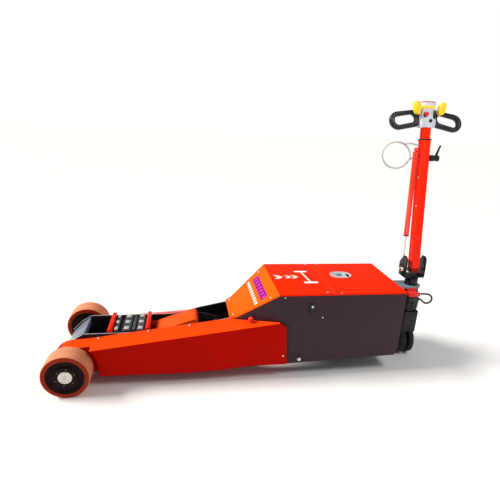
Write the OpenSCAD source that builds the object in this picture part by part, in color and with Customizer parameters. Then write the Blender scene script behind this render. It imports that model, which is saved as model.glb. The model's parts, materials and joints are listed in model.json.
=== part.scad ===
// Battery-driven trolley jack: two free front wheels, a lifting arm with a
// levelled saddle between the frame plates, a machine box with battery and
// pump behind it, and a steered drive wheel under a hinged telescopic tiller.
// +X runs from the front wheels to the tiller, +Z is up, the floor is z = 0.

/* [Front wheels] */
// Radius of a front wheel
wheel_r = 105; // [90:1:105]
// Width of a front wheel
wheel_w = 95; // [70:1:95]
// Overall width over the front wheels
track_w = 558; // [558:1:600]
// Diameter of the front axle in its bearings
axle_d = 30; // [25:1:35]

/* [Frame] */
// Distance from the front axle to the steering axis
wheelbase = 1748; // [1740:1:1800]
// Width over the two frame plates
frame_w = 194; // [190:1:198]
// Thickness of a frame plate
plate_t = 6; // [5:1:7]
// Height of the frame plates over the front part
plate_top = 217; // [212:1:220]
// Width of the left side beam, from the middle of the machine to its face
beam_y = 219; // [215:1:222]

/* [Machine box] */
// Width of the machine box
box_w = 414; // [406:1:416]
// Height of the hood
hood_z = 455; // [450:1:470]
// Front edge of the flat hood top, behind the front axle
hood_front = 961; // [950:1:965]
// Rear face of the machine box, behind the front axle
box_rear = 1608; // [1600:1:1612]
// Sheet thickness of the covers
sheet = 3; // [2:1:4]

/* [Lifting gear] */
// Arm pivot, behind the front axle
arm_x = 690; // [685:1:695]
// Height of the arm pivot
arm_z = 178; // [176:1:182]
// Saddle pin, behind the front axle
saddle_x = 250; // [248:1:252]
// Height of the saddle pin when lowered
saddle_z = 150; // [148:1:152]

/* [Drive and steering] */
// Radius of the drive tyres
drive_r = 82; // [78:1:84]
// Width over the two drive tyres
drive_w = 76; // [72:1:80]

/* [Tiller] */
// Height of the tiller pivot
tiller_z = 498; // [496:1:502]
// Lean of the parked tiller
tiller_lean = 9.4; // [8:0.1:11]
// Length of the outer tube above the pivot
tube_len = 685; // [670:1:690]
// Width of the outer tube
tube_w = 50; // [48:1:52]
// Depth of the outer tube
tube_t = 42; // [40:1:44]
// Overall width of the tiller head
head_w = 400; // [380:1:410]

/* [Cords] */
// Diameter of the control lead on the tiller
lead_d = 7; // [6:0.5:8]
// Diameter of the power lead at the rear
power_d = 10; // [9:0.5:11]

/* [Hidden] */
$fn = 64;

head_half = head_w / 2;
// The origin lies halfway between the front wheels' front and the head's rear end
mid_x = (wheelbase + head_half - wheel_r) / 2;
plate_y = frame_w / 2;
bay_y = plate_y - plate_t;
wheel_in = track_w / 2 - wheel_w;
wheel_out = track_w / 2;
box_y = box_w / 2;
// Running clearance of a pin or a bearing, on the radius
run = 0.05;

// Side beam: the top edge rises from the wheel to the machine box
beam_x0 = 90;
beam_x1 = 1005;
beam_z0 = 199;
beam_rise = 0.1276;
beam_t = 4;
beam_foot = 1020;
beam_bottom = 64;
arch_r = 133;
nose_r = 86;
nose_y = 178;

// Hood front: slope and lower lip
slope_x = 772;
slope_z = 302;
lip_x = 742;
lip_z = 291;
lip_y = 103;
hood_lip = 6;

// Lifting gear
arm_in = 62;
arm_out = 74;
pin_d = 20;
shaft_d = 30;
link_drop = 45;
link_in = 77;
link_t = 8;
crank_x = 18;
crank_z = -68;
ram_x = 1140;
ram_z = arm_z + crank_z;
saddle_front = 150;
saddle_rear = 352;

// Rear
slew_x = wheelbase;
plate_z = 402;
bracket_t = 10;
pin_r = 26;
column_r = 34;
clevis_w = 116;
clevis_t = 7;
cover_x = 46;
cover_y = 60;
cover_top = 268;
cover_bottom = 146;
motor_r = 54;

// Gas strut: fixed pin and tiller pin, seen from the tiller pivot
strut_ay = 38;
strut_az = 16;
strut_b = 630;
strut_x = wheelbase - 43.5;
strut_bore = 23;
strut_angle = atan2(strut_b * sin(tiller_lean) - strut_ay, strut_b * cos(tiller_lean) - strut_az);
strut_len = 454;
strut_d = 27;
strut_rod_d = 8;

// Tiller head, along the tiller from the pivot
head_at = 741;
head_top = 832;
housing_w = 82;
housing_t = 50;
grip_d = 28;
loop_y = 8;
switch_at = 803;
stop_x = -22;
rocker_x = 27;
throttle_at = 817;
throttle_y = -8;
belly_w = 72;
belly_t = 42;

module placed() translate([-mid_x, 0, 0]) children();

// A flat outline in X and Z, given a thickness from y0 to y1
module side_plate(y0, y1) translate([0, y1, 0]) rotate([90, 0, 0]) linear_extrude(y1 - y0) children();

module pin_y(x, z, y0, y1, d) translate([x, y0, z]) rotate([-90, 0, 0]) cylinder(h = y1 - y0, d = d);

module pin_x(x0, x1, y, z, d) translate([x0, y, z]) rotate([0, 90, 0]) cylinder(h = x1 - x0, d = d);

module box_at(x0, x1, y0, y1, z0, z1) translate([x0, y0, z0]) cube([x1 - x0, y1 - y0, z1 - z0]);

// Everything on the tiller is drawn upright from its pivot and then leaned
module leaned() translate([wheelbase, 0, tiller_z]) rotate([-tiller_lean, 0, 0]) children();

module round_box(w, d, h, r) {
    linear_extrude(h) hull()
        for (sx = [-1, 1], sy = [-1, 1]) translate([sx * (w / 2 - r), sy * (d / 2 - r)]) circle(r, $fn = 32);
}

function beam_top(x) = beam_z0 + (x - beam_x0) * beam_rise;

// Points of an arc in a flat outline, from angle a0 to a1 in n steps
function arc(cx, cz, r, a0, a1, n) = [for (i = [0 : n]) let (a = a0 + (a1 - a0) * i / n) [cx + r * cos(a), cz + r * sin(a)]];

// ---------------------------------------------------------------- frame

module frame_outline() {
    difference() {
        polygon([
            [-48, 70], [-48, 140], [0, 188], [45, plate_top], [455, plate_top], [525, 232],
            [600, 253], [742, 283], [900, 300], [1602, 300], [1602, 100], [1000, 84], [620, 58], [-30, 58]
        ]);
        translate([0, wheel_r]) circle(d = axle_d);
        translate([arm_x, arm_z]) circle(d = shaft_d);
    }
}

module frame_plate_left() placed() color("#1d1f24") side_plate(-plate_y, -bay_y) frame_outline();

module frame_plate_right() placed() color("#1d1f24") side_plate(bay_y, plate_y) frame_outline();

module front_cross_member() placed() color("#8f9aa3")
    side_plate(-bay_y, bay_y) polygon([
        [-44, 132], [2, 180], [40, 209], [46, 209], [46, 172], [40, 172], [40, 201], [6, 174], [-38, 128]
    ]);

module tray_floor() placed() color("#26272b") {
    box_at(-30, 640, -bay_y, bay_y, 58, 62);
    box_at(ram_x + 40, 1602, -bay_y, bay_y, 100, 104);
}

module front_axle() placed() color("#b9bcc0") {
    pin_y(0, wheel_r, -wheel_out + 12, wheel_out - 12, axle_d);
    for (side = [-1, 1]) difference() {
        pin_y(0, wheel_r, side > 0 ? plate_y : -wheel_in + 3, side > 0 ? wheel_in - 3 : -plate_y, 44);
        pin_y(0, wheel_r, -wheel_out, wheel_out, axle_d);
    }
}

// Outline of the left beam in X and Z, drawn in by t all round but at the open side
module beam_outline(t) {
    difference() {
        polygon(concat(
            [[beam_x0, beam_z0 - t], [968, beam_top(968) - t], [beam_x1 - t, 286], [beam_foot - t, 83 + t],
             [850, 82 + t], [700, 68 + t], [560, 60 + t], [146, beam_bottom + t]],
            arc(0, wheel_r, nose_r - t, 210 - t, 90, 24)
        ));
        translate([0, wheel_r]) circle(d = 48 + 2 * t);
    }
}

module side_beam_left() placed() color("#c81a0c") {
    difference() {
        side_plate(-beam_y, -plate_y) beam_outline(0);
        difference() {
            side_plate(-beam_y + beam_t, -plate_y + 1) beam_outline(beam_t);
            pin_y(0, wheel_r, -beam_y, -nose_y + beam_t, 2 * (arch_r + beam_t));
        }
        pin_y(0, wheel_r, -beam_y - 1, -nose_y, 2 * arch_r);
    }
}

// Low sill on the right, its top sheet falling outwards
module sill_solid(t) {
    difference() {
        side_plate(plate_y - (t > 0 ? 1 : 0), beam_y - t)
            polygon([[146 + t, beam_bottom + t], [146 + t, 190 - t], [beam_x1 - t, 262 - t], [beam_x1 - t, 91 + t],
                     [620, beam_bottom + t]]);
        translate([146, beam_y, 148 - t]) rotate([-20, -4.2, 0]) translate([-200, -400, 0]) cube([1300, 600, 200]);
    }
}

module side_beam_right() placed() color("#c81a0c") difference() {
    sill_solid(0);
    sill_solid(beam_t);
}

module arm_pivot_shaft() placed() color("#9a9da1") {
    pin_y(arm_x, arm_z, -plate_y - 6, plate_y + 6, shaft_d);
    pin_y(ram_x, ram_z, -bay_y, bay_y, 20);
    pin_y(arm_x, arm_z - link_drop, link_in - 1, bay_y, 12);
    pin_y(arm_x, arm_z - link_drop, -bay_y, -link_in + 1, 12);
    for (side = [-1, 1]) difference() {
        pin_y(arm_x, arm_z, side > 0 ? plate_y : -plate_y - 6, side > 0 ? plate_y + 6 : -plate_y, 48);
        pin_y(arm_x, arm_z, -plate_y - 20, plate_y + 20, shaft_d);
    }
}

module dome_bolt(r, h) {
    cylinder(h = h * 0.4, r = r);
    translate([0, 0, h * 0.4]) cylinder(h = h * 0.6, r1 = r, r2 = r * 0.55, $fn = 24);
}

module hex_bolt(r, h) {
    cylinder(h = h * 0.25, r = r * 1.25);
    translate([0, 0, h * 0.25]) cylinder(h = h * 0.75, r = r, $fn = 6);
}

module frame_bolts() placed() color("#c9c4c0") {
    // On the beam's top sheet, along its inner edge
    for (x = [120, 352, 548]) translate([x, -plate_y - 14, beam_top(x) + 0.2]) rotate([0, -7.3, 0]) hex_bolt(6, 7);
    // On the beam's face and the side panels
    for (p = [[997, 132, beam_y], [1084, 103, box_y], [1183, 330, box_y], [988, 438, box_y]])
        for (side = [-1, 1]) if (side < 0 || p[2] < beam_y || p[1] < 200)
            translate([p[0], side * p[2], p[1]]) rotate([side < 0 ? 90 : -90, 0, 0])
                hex_bolt(p[0] == 1084 ? 10 : 4, p[0] == 1084 ? 8 : 4);
    // Round guide stud ahead of the panel
    translate([838, -172, beam_top(838) + 0.3]) rotate([0, -7.3, 0]) {
        cylinder(h = 8, r = 9);
        translate([0, 0, 17]) sphere(r = 14);
    }
}

// ---------------------------------------------------------------- machine box

module hood_plan(t) polygon([
    [lip_x, -lip_y + t], [hood_front, -box_y + t], [box_rear, -box_y + t],
    [box_rear, box_y - t], [hood_front, box_y - t], [lip_x, lip_y - t]
]);

module hood_profile(z_drop, t) polygon([
    [lip_x - 1, lip_z - z_drop], [slope_x, slope_z - z_drop], [hood_front, hood_z - z_drop],
    [box_rear + 1, hood_z - z_drop], [box_rear + 1, hood_z - z_drop - t],
    [hood_front + t * 0.35, hood_z - z_drop - t], [slope_x + t * 0.2, slope_z - z_drop - t * 1.15],
    [lip_x - 1, lip_z - z_drop - t]
]);

module hood() placed() color("#ff2b00") {
    intersection() {
        side_plate(-box_y, box_y) hood_profile(0, sheet);
        linear_extrude(600) hood_plan(0);
    }
    // Turned-down lip along the edges
    intersection() {
        side_plate(-box_y, box_y) hood_profile(sheet, hood_lip);
        linear_extrude(600) difference() {
            hood_plan(0);
            hood_plan(sheet);
        }
    }
}

module panel_cut(side) {
    // Flat part, with a rounded lower rear corner
    side_plate(side > 0 ? box_y - sheet : -box_y, side > 0 ? box_y : -box_y + sheet) difference() {
        union() {
            polygon([[hood_front, hood_z - sheet - hood_lip - 0.2], [box_rear, hood_z - sheet - hood_lip - 0.2],
                     [box_rear, 120], [box_rear - 16, 101], [1000, 77], [hood_front, 76]]);
        }
        if (side < 0) polygon([[hood_front - 1, beam_top(968) - 330], [hood_front - 1, beam_top(968) + 0.3],
            [968, beam_top(968) + 0.3], [beam_x1 + 0.3, 286.5], [beam_foot + 2, 60]]);
        if (side > 0) polygon([[hood_front - 1, 60], [hood_front - 1, 214], [beam_x1 + 0.3, 218], [beam_x1 + 0.3, 60]]);
    }
}

// Part of the side that runs in towards the lifting gear, standing on the beam
module panel_taper(side, z_low) {
    turn = atan2(box_y - lip_y, hood_front - lip_x);
    run_x = norm([box_y - lip_y, hood_front - lip_x]);
    part = run_x / (hood_front - lip_x);
    drop = hood_lip + sheet * 1.4;
    translate([lip_x, side * lip_y, 0]) rotate([0, 0, side * turn])
        translate([0, side > 0 ? 0 : sheet, 0]) rotate([90, 0, 0]) linear_extrude(sheet) polygon([
            [18 * part, z_low[0] + 0.2], [(slope_x - lip_x) * part, slope_z - drop - 2.4],
            [run_x, hood_z - drop - 1.6], [run_x, z_low[1]], [18 * part, z_low[0]]
        ]);
}

module side_panel_left() placed() color("#3a2d31") {
    panel_cut(-1);
    panel_taper(-1, [beam_top(lip_x + 18) + 0.6, beam_top(hood_front) + 1.4]);
}

module side_panel_right() placed() color("#3a2d31") {
    panel_cut(1);
    translate([0, sheet, 0]) panel_taper(1, [238, 214]);
}

module rear_panel() placed() color("#3a2d31") difference() {
    box_at(box_rear - sheet, box_rear, -box_y + sheet, box_y - sheet, 110, hood_z - sheet - 0.2);
    box_at(box_rear - 10, box_rear + 10, -52, 52, plate_z - 2, plate_z + bracket_t + 2);
}

// Oval flush grip on the hood: a rim around a dished plate
module oval(r, half) hull() for (x = [-half, half]) translate([x, 0]) circle(r, $fn = 48);

module hood_handle_cup() placed() color("#8d9298") translate([1349, 30, hood_z]) difference() {
    linear_extrude(3) oval(44, 14);
    translate([0, 0, 0.8]) linear_extrude(3) oval(38, 14);
}

module battery() placed() color("#22262c") for (side = [-1, 1]) {
    box_at(1080, 1400, side > 0 ? plate_y + 4 : -box_y + 8, side > 0 ? box_y - 8 : -plate_y - 4, 118, 320);
    for (x = [1110, 1370]) translate([x, side * (plate_y + box_y) / 2, 320]) cylinder(h = 14, d = 18);
}

module oil_tank() placed() color("#2b2d30") {
    box_at(1340, 1560, -80, 80, 104, 230);
    translate([1500, 0, 230]) cylinder(h = 16, r = 20);
}

module pump_motor() placed() color("#4c5157") {
    pin_x(1240, 1340, 0, 160, 104);
    pin_x(1222, 1240, 0, 160, 70);
    box_at(ram_x + 44, 1222, -45, 45, 104, 210);
}

module motor_controller() placed() color("#30343a") {
    box_at(1080, 1290, -80, 80, 330, 380);
    for (y = [-60 : 20 : 60]) box_at(1085, 1285, y - 2, y + 2, 380, 396);
}

module steering_bracket() placed() color("#8a98a6") difference() {
    union() {
        box_at(1560, slew_x, -50, 50, plate_z, plate_z + bracket_t);
        translate([slew_x, 0, plate_z]) cylinder(h = bracket_t, r = 50);
        for (y = [-48, 40]) box_at(box_rear + 1, 1690, y, y + 8, 340, plate_z);
        box_at(box_rear + 1, box_rear + 9, -48, 48, 300, plate_z);
    }
    translate([slew_x, 0, plate_z - 1]) cylinder(h = bracket_t + 2, r = pin_r + 2);
}

module slew_bearing() placed() color("#24262b") translate([slew_x, 0, plate_z - 36]) difference() {
    union() {
        cylinder(h = 36, r = 44);
        cylinder(h = 8, r = 47);
    }
    translate([0, 0, -1]) cylinder(h = 38, r = pin_r + run);
}

module power_connectors() placed() color("#d8230f") {
    for (i = [0, 1]) {
        box_at(1706, 1750, -78, -53, 366 - i * 28, 390 - i * 28);
        box_at(1750, 1768, -76, -55, 368 - i * 28, 388 - i * 28);
    }
    box_at(1702, 1754, -53, -50, 340, plate_z + 6);
}

// ---------------------------------------------------------------- front wheels

module tyre_ring(side) translate([0, side * (wheel_in + wheel_w / 2), wheel_r]) rotate([90, 0, 0])
    rotate_extrude($fn = 96) polygon([
        [81, -wheel_w / 2], [wheel_r - 5, -wheel_w / 2], [wheel_r, -wheel_w / 2 + 6],
        [wheel_r, wheel_w / 2 - 6], [wheel_r - 5, wheel_w / 2], [81, wheel_w / 2]
    ]);

module hub_core(side) translate([0, side * (wheel_in + wheel_w / 2), wheel_r]) rotate([90, 0, 0])
    rotate_extrude($fn = 96) polygon([
        [31, -wheel_w / 2 + 2], [52, -wheel_w / 2 + 2], [56, -wheel_w / 2 + 10], [70, -wheel_w / 2 + 10],
        [74, -wheel_w / 2 + 3], [81, -wheel_w / 2 + 3], [81, wheel_w / 2 - 3], [74, wheel_w / 2 - 3],
        [70, wheel_w / 2 - 10], [56, wheel_w / 2 - 10], [52, wheel_w / 2 - 2], [31, wheel_w / 2 - 2]
    ]);

module bearing_pair(side) for (end = [-1, 1])
    translate([0, side * (wheel_in + wheel_w / 2) + end * (wheel_w / 2 - 22), wheel_r]) rotate([90, 0, 0])
        translate([0, 0, -8]) difference() {
            cylinder(h = 16, r = 31);
            translate([0, 0, -1]) cylinder(h = 18, r = axle_d / 2 + run);
        }

// Round cap over the axle's end, with the ring of screws that holds it
module wheel_cap(side) translate([0, side * (wheel_out - 2), wheel_r]) rotate([side < 0 ? 90 : -90, 0, 0]) {
    translate([0, 0, -8]) cylinder(h = 9, r = 31);
    for (a = [0 : 60 : 300]) rotate([0, 0, a + 20]) translate([41, 0, 0]) cylinder(h = 2, r = 4, $fn = 6);
}

module wheel_left_tyre() placed() color("#e0906a") tyre_ring(-1);
module wheel_left_hub() placed() color("#2a1512") hub_core(-1);
module wheel_left_bearings() placed() color("#c9ccd0") bearing_pair(-1);
module wheel_left_cap() placed() color("#bfa9a2") wheel_cap(-1);
module wheel_right_tyre() placed() color("#e0906a") tyre_ring(1);
module wheel_right_hub() placed() color("#2a1512") hub_core(1);
module wheel_right_bearings() placed() color("#c9ccd0") bearing_pair(1);
module wheel_right_cap() placed() color("#bfa9a2") wheel_cap(1);

// ---------------------------------------------------------------- lifting gear

module arm_cheek() difference() {
    polygon([
        [saddle_x - 24, saddle_z - 22], [saddle_x - 24, saddle_z + 20], [saddle_x + 60, saddle_z + 34],
        [420, 196], [560, 236], [620, 232], [arm_x + 34, arm_z + 24], [arm_x + 40, arm_z],
        [arm_x + crank_x + 24, arm_z + crank_z - 6], [arm_x + crank_x, arm_z + crank_z - 24],
        [arm_x + crank_x - 26, arm_z + crank_z], [arm_x - 50, arm_z - 52], [420, saddle_z - 18]
    ]);
    translate([arm_x, arm_z]) circle(d = shaft_d + 2 * run);
    translate([saddle_x, saddle_z]) circle(d = pin_d);
}

module lift_arm() placed() color("#b81408") {
    for (side = [-1, 1])
        side_plate(side > 0 ? arm_in : -arm_out, side > 0 ? arm_out : -arm_in) arm_cheek();
    // Cross tubes, saddle pin and crank pin
    pin_y(470, 168, -arm_in, arm_in, 34);
    pin_y(saddle_x, saddle_z, -arm_out - 6, arm_out + 6, pin_d);
    pin_y(arm_x + crank_x, arm_z + crank_z, -arm_in, arm_in, 18);
    difference() {
        pin_y(arm_x, arm_z, -arm_in, arm_in, 46);
        pin_y(arm_x, arm_z, -arm_out, arm_out, shaft_d + 2 * run);
        box_at(arm_x - 40, arm_x + 40, -24, 24, arm_z - 40, arm_z + 40);
    }
}

// Sloping box cover on the arm
module arm_cover_outline(t) polygon(concat(
    [[470, 188 - t], [366 + t, 172 - t], [384 + t, 200 - t]],
    arc(566, 238, 24 - t, 110, 0, 12),
    [[590 - t, 206 - t]]
));

module arm_cover() placed() color("#ff6a10") difference() {
    side_plate(-arm_in, arm_in) arm_cover_outline(0);
    side_plate(-arm_in + 4, arm_in - 4) arm_cover_outline(4);
}

module saddle_base() placed() color("#2c2f33") difference() {
    union() {
        link_pin();
        box_at(saddle_front + 6, saddle_rear - 6, -86, 86, 200, 208);
        for (y = [-58, 48]) side_plate(y, y + 10)
            polygon([[saddle_front + 10, 200], [saddle_rear - 12, 200], [saddle_x + 26, 86], [saddle_x - 26, 86]]);
        for (side = [-1, 1]) box_at(saddle_front + 6, saddle_rear - 6, side > 0 ? 80 : -86, side > 0 ? 86 : -80, 176, 200);
    }
    pin_y(saddle_x, saddle_z, -90, 90, pin_d + 2 * run);
}

// Pin under the saddle that the two levelling bars hold
module link_pin() pin_y(saddle_x, saddle_z - link_drop, -link_in - link_t - 1, link_in + link_t + 1, 12);

module lip(x0, x1, z1) side_plate(-87, 87) polygon([
    [x0, 208], [x0 + 4, z1 - 6], [x0 + 10, z1], [x1 - 4, z1], [x1, z1 - 8], [x1, 208]
]);

module saddle_lips() placed() color("#c8160c") {
    lip(saddle_front, saddle_front + 26, 238);
    lip(saddle_rear - 24, saddle_rear, 240);
}

module saddle_ribs() placed() color("#c2c7ca") {
    for (p = [[182, 20, 222], [222, 38, 224], [268, 14, 226], [290, 32, 224]])
        box_at(p[0], p[0] + p[1], -80, 80, 208, p[2]);
    for (x = [192, 241, 306], y = [-62, 0, 62]) translate([x, y, 222]) cylinder(h = 6, r = 6, $fn = 6);
}

// Two equal bars, one outside each arm cheek, parallel to the arm
module levelling_link() placed() color("#5a5f65") for (y = [-link_in - link_t, link_in]) difference() {
    side_plate(y, y + link_t) hull() {
        translate([arm_x, arm_z - link_drop]) circle(14, $fn = 32);
        translate([saddle_x, saddle_z - link_drop]) circle(14, $fn = 32);
    }
    pin_y(arm_x, arm_z - link_drop, y - 1, y + link_t + 1, 12 + 2 * run);
    pin_y(saddle_x, saddle_z - link_drop, y - 1, y + link_t + 1, 12.8);
}

module ram_barrel() placed() color("#26282c") difference() {
    union() {
        pin_x(830, 1090, 0, ram_z, 50);
        pin_x(812, 830, 0, ram_z, 54);
        box_at(1090, ram_x + 22, -16, 16, ram_z - 20, ram_z + 20);
    }
    pin_x(800, 1080, 0, ram_z, 28 + 2 * run);
    pin_y(ram_x, ram_z, -40, 40, 20 + 2 * run);
}

module ram_rod() placed() color("#d5d8db") difference() {
    union() {
        pin_x(arm_x + crank_x + 20, 960, 0, ram_z, 28);
        translate([arm_x + crank_x, -16, ram_z]) rotate([-90, 0, 0]) cylinder(h = 32, r = 25);
    }
    pin_y(arm_x + crank_x, ram_z, -40, 40, 27);
}

// ---------------------------------------------------------------- drive and steering

module king_pin() placed() color("#1f2126") translate([slew_x, 0, 0]) {
    translate([0, 0, 345]) cylinder(h = tiller_z - 43 - 345, r = pin_r);
    translate([0, 0, 344]) cylinder(h = 16, r = 44);
    translate([0, 0, plate_z + bracket_t + 0.4]) cylinder(h = tiller_z - 43 - plate_z - bracket_t - 0.4, r = column_r);
}

module clevis_bracket() placed() color("#232429") difference() {
    translate([slew_x, 0, 0]) union() {
        translate([0, 0, tiller_z - 43]) linear_extrude(8) translate([-clevis_w / 2, -24]) square([clevis_w, 66]);
        for (side = [-1, 1]) translate([side * (clevis_w - clevis_t) / 2, 0, tiller_z - 35])
            rotate([90, 0, 90]) linear_extrude(clevis_t, center = true)
                polygon([[-24, 0], [42, 0], [52, 40], [50, 66], [18, 108], [-4, 108], [-18, 98], [-24, 40]]);
    }
    pin_x(slew_x - 80, slew_x + 80, 0, tiller_z, 16);
    pin_x(slew_x - 80, slew_x, strut_ay, tiller_z + strut_az, 8);
}

module tiller_bolt() placed() color("#c4c7ca") {
    pin_x(slew_x - clevis_w / 2 - 12, slew_x + clevis_w / 2 + 4, 0, tiller_z, 16);
    difference() {
        pin_x(slew_x - clevis_w / 2 - 20, slew_x - clevis_w / 2, 0, tiller_z, 27);
        pin_x(slew_x - clevis_w / 2 - 12, slew_x, 0, tiller_z, 16);
    }
    // Stud that carries the strut's rod
    pin_x(slew_x - clevis_w / 2 - 6, strut_x + 6, strut_ay, tiller_z + strut_az, 8);
    pin_x(slew_x - clevis_w / 2 - 6, slew_x - clevis_w / 2, strut_ay, tiller_z + strut_az, 14);
}

module drive_motor() placed() color("#17181b") translate([slew_x, 0, 0]) {
    translate([0, 0, cover_top]) cylinder(h = 68, r = motor_r);
    translate([0, 0, cover_top + 68]) cylinder(h = 8, r = 38);
    for (a = [0 : 30 : 330]) rotate([0, 0, a]) translate([motor_r - 2, -2, 276]) cube([5, 4, 50]);
}

module drive_gearbox() placed() color("#2a2c30") difference() {
    union() {
        pin_x(slew_x - 7, slew_x + 7, 0, drive_r, 84);
        box_at(slew_x - 7, slew_x + 7, -30, 30, drive_r, cover_top - 6);
        box_at(slew_x - 38, slew_x + 38, -51, 51, cover_top - 14, cover_top - 6);
    }
    pin_x(slew_x - 20, slew_x + 20, 0, drive_r, 26 + 2 * run);
}

module drive_cover() placed() color("#141416") translate([slew_x, 0, cover_bottom]) difference() {
    round_box(2 * cover_x, 2 * cover_y, cover_top - cover_bottom, 16);
    translate([0, 0, -1]) round_box(2 * cover_x - 6, 2 * cover_y - 6, cover_top - cover_bottom - 5, 13);
}

module drive_tyres() placed() color("#121213") translate([slew_x, 0, drive_r]) rotate([0, 90, 0])
    for (side = [-1, 1]) rotate_extrude($fn = 96) polygon([
        [58, side * 9], [drive_r - 3, side * 9], [drive_r, side * 12],
        [drive_r, side * (drive_w / 2 - 8)], [drive_r - 4, side * (drive_w / 2 - 2)],
        [drive_r - 12, side * drive_w / 2], [58, side * drive_w / 2]
    ]);

module drive_hubs() placed() color("#7c8086") translate([slew_x, 0, drive_r]) rotate([0, 90, 0]) {
    cylinder(h = drive_w - 6, r = 13, center = true);
    for (side = [-1, 1]) rotate_extrude($fn = 96) polygon([
        [13, side * 9], [58, side * 9], [58, side * (drive_w / 2 - 3)], [50, side * (drive_w / 2 - 3)],
        [46, side * 24], [26, side * 24], [24, side * (drive_w / 2 - 5)], [13, side * (drive_w / 2 - 5)]
    ]);
}

// ---------------------------------------------------------------- tiller

module tiller_tube() placed() color("#ff2a08") leaned() {
    difference() {
        translate([0, 0, -16]) round_box(tube_w, tube_t, tube_len + 16, 7);
        translate([0, 0, 60]) round_box(tube_w - 7, tube_t - 7, tube_len, 4);
        pin_x(-60, 60, 0, 0, 16 + 2 * run);
    }
    // Ear that carries the strut's upper end
    pin_x(strut_x - wheelbase - 6, -tube_w / 2, 0, strut_b, 9);
}

module clamp_lever() placed() color("#17181a") leaned() translate([0, 0, 590]) {
    pin_x(tube_w / 2 + 0.3, tube_w / 2 + 10, 0, 0, 14);
    pin_x(tube_w / 2 + 10, tube_w / 2 + 60, 0, 0, 32);
    translate([tube_w / 2 + 46, 0, 12]) rotate([0, 22, 0]) cylinder(h = 58, r1 = 6, r2 = 4.5);
}

module strut_tube() placed() color("#d01c10") leaned() translate([strut_x - wheelbase, 0, strut_b])
    rotate([-(strut_angle - tiller_lean), 0, 0]) difference() {
        union() {
            translate([0, 0, -strut_len]) cylinder(h = strut_len - 12, d = strut_d);
            pin_x(-6, 6, 0, 0, 22);
            translate([0, 0, -14]) cylinder(h = 12, d = 12);
        }
        translate([0, 0, -strut_len - 1]) cylinder(h = strut_len - 30, d = strut_bore);
        pin_x(-20, 20, 0, 0, 9 + 2 * run);
    }

module strut_rod() placed() color("#caa9a0") translate([strut_x, strut_ay, tiller_z + strut_az])
    rotate([-strut_angle, 0, 0]) difference() {
        union() {
            translate([0, 0, 6]) cylinder(h = 524, d = strut_rod_d);
            pin_x(-6, 6, 0, 0, 20);
        }
        pin_x(-20, 20, 0, 0, 8 + 2 * run);
    }

module inner_tube() placed() color("#ff2a08") leaned() translate([0, 0, 330])
    difference() {
        round_box(tube_w - 8, tube_t - 8, head_at - 330, 4);
        translate([0, 0, -1]) round_box(tube_w - 14, tube_t - 14, head_at - 326, 2);
    }

module head_housing() placed() color("#c3c8d2") leaned() {
    translate([0, 0, head_at]) round_box(housing_w - 4, housing_t - 4, 10, 8);
    difference() {
        translate([0, 0, head_at + 10]) round_box(housing_w, housing_t, head_top - head_at - 10, 9);
        // Pockets of the belly button, the stop button and the rocker, and the throttle's bore
        translate([0, 0, head_top - 6]) round_box(belly_w + 0.8, belly_t + 0.8, 8, 10.4);
        translate([stop_x, -housing_t / 2 - 1, switch_at]) rotate([-90, 0, 0]) cylinder(h = 9, r = 8.5);
        translate([rocker_x - 7.2, -housing_t / 2 - 1, switch_at - 21]) cube([14.4, 8, 42]);
        pin_x(-60, 60, throttle_y, throttle_at, 10 + 2 * run);
    }
    translate([7, -housing_t / 2 - 3, head_at + 32]) rotate([-90, 0, 0]) cylinder(h = 6, r = 8);
}

module handle_loops() placed() color("#1a1b1e") leaned() for (side = [-1, 1]) difference() {
    translate([0, loop_y, head_at + 38]) rotate([-14, 0, 0]) rotate([90, 0, 0])
        linear_extrude(grip_d, center = true) difference() {
            hull() {
                translate([side * (head_half - 47), -9]) circle(47, $fn = 48);
                translate([side * 52, 10]) circle(44, $fn = 48);
            }
            hull() {
                translate([side * (head_half - 49), -9]) circle(23, $fn = 40);
                translate([side * 84, 6]) circle(22, $fn = 40);
            }
        }
    translate([0, 0, head_at - 20]) linear_extrude(160)
        square([housing_w, 3 * housing_t], center = true);
}

module belly_button() placed() color("#b9b8c4") leaned() translate([0, 0, head_top - 1]) {
    round_box(belly_w, belly_t, 32, 10);
    translate([0, 0, 32]) round_box(belly_w - 4, belly_t - 4, 6, 8);
}

// Two wings on one shaft through the head, drawn on the right and mirrored
module wing(side) side_plate_at(side) polygon([
    [50, 804], [60, 802], [74, 806], [85, 820], [88, 850], [84, 864], [70, 868], [56, 858], [50, 836]
]);

module side_plate_at(side) mirror([side < 0 ? 1 : 0, 0, 0]) side_plate(throttle_y - 20, throttle_y) children();

module butterflies() placed() color("#ffd83c") leaned() {
    pin_x(-52, 52, throttle_y, throttle_at, 10);
    for (side = [-1, 1]) {
        wing(side);
        pin_x(side > 0 ? 50 : -66, side > 0 ? 66 : -50, throttle_y, throttle_at, 16);
    }
}

module stop_button() placed() color("#d01010") leaned()
    translate([stop_x, -housing_t / 2 + 1.6, switch_at]) rotate([90, 0, 0]) {
        cylinder(h = 9, r = 8);
        translate([0, 0, 9]) cylinder(h = 6, r = 11);
    }

// Two-way switch: its face falls away to both ends from the middle
module lift_rocker() placed() color("#16181c") leaned() {
    pin_x(rocker_x - 7, rocker_x + 7, -housing_t / 2, switch_at, 3.4);
    translate([rocker_x - 6.5, -housing_t / 2, switch_at]) rotate([90, 0, 90]) linear_extrude(13)
        polygon([[2, -19], [2, 19], [-4, 19], [-7.5, 0], [-4, -19]]);
}

module panel_latch(side) translate([1122, side * (box_y + 0.3), 384]) rotate([side < 0 ? 90 : -90, 0, 0]) {
    cylinder(h = 6, r = 15);
    translate([0, 0, 6]) hull() {
        translate([0, side < 0 ? 16 : -16, 0]) cylinder(h = 9, r = 8, $fn = 32);
        translate([0, side < 0 ? -28 : 28, 0]) cylinder(h = 6, r = 6, $fn = 32);
    }
}

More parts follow.
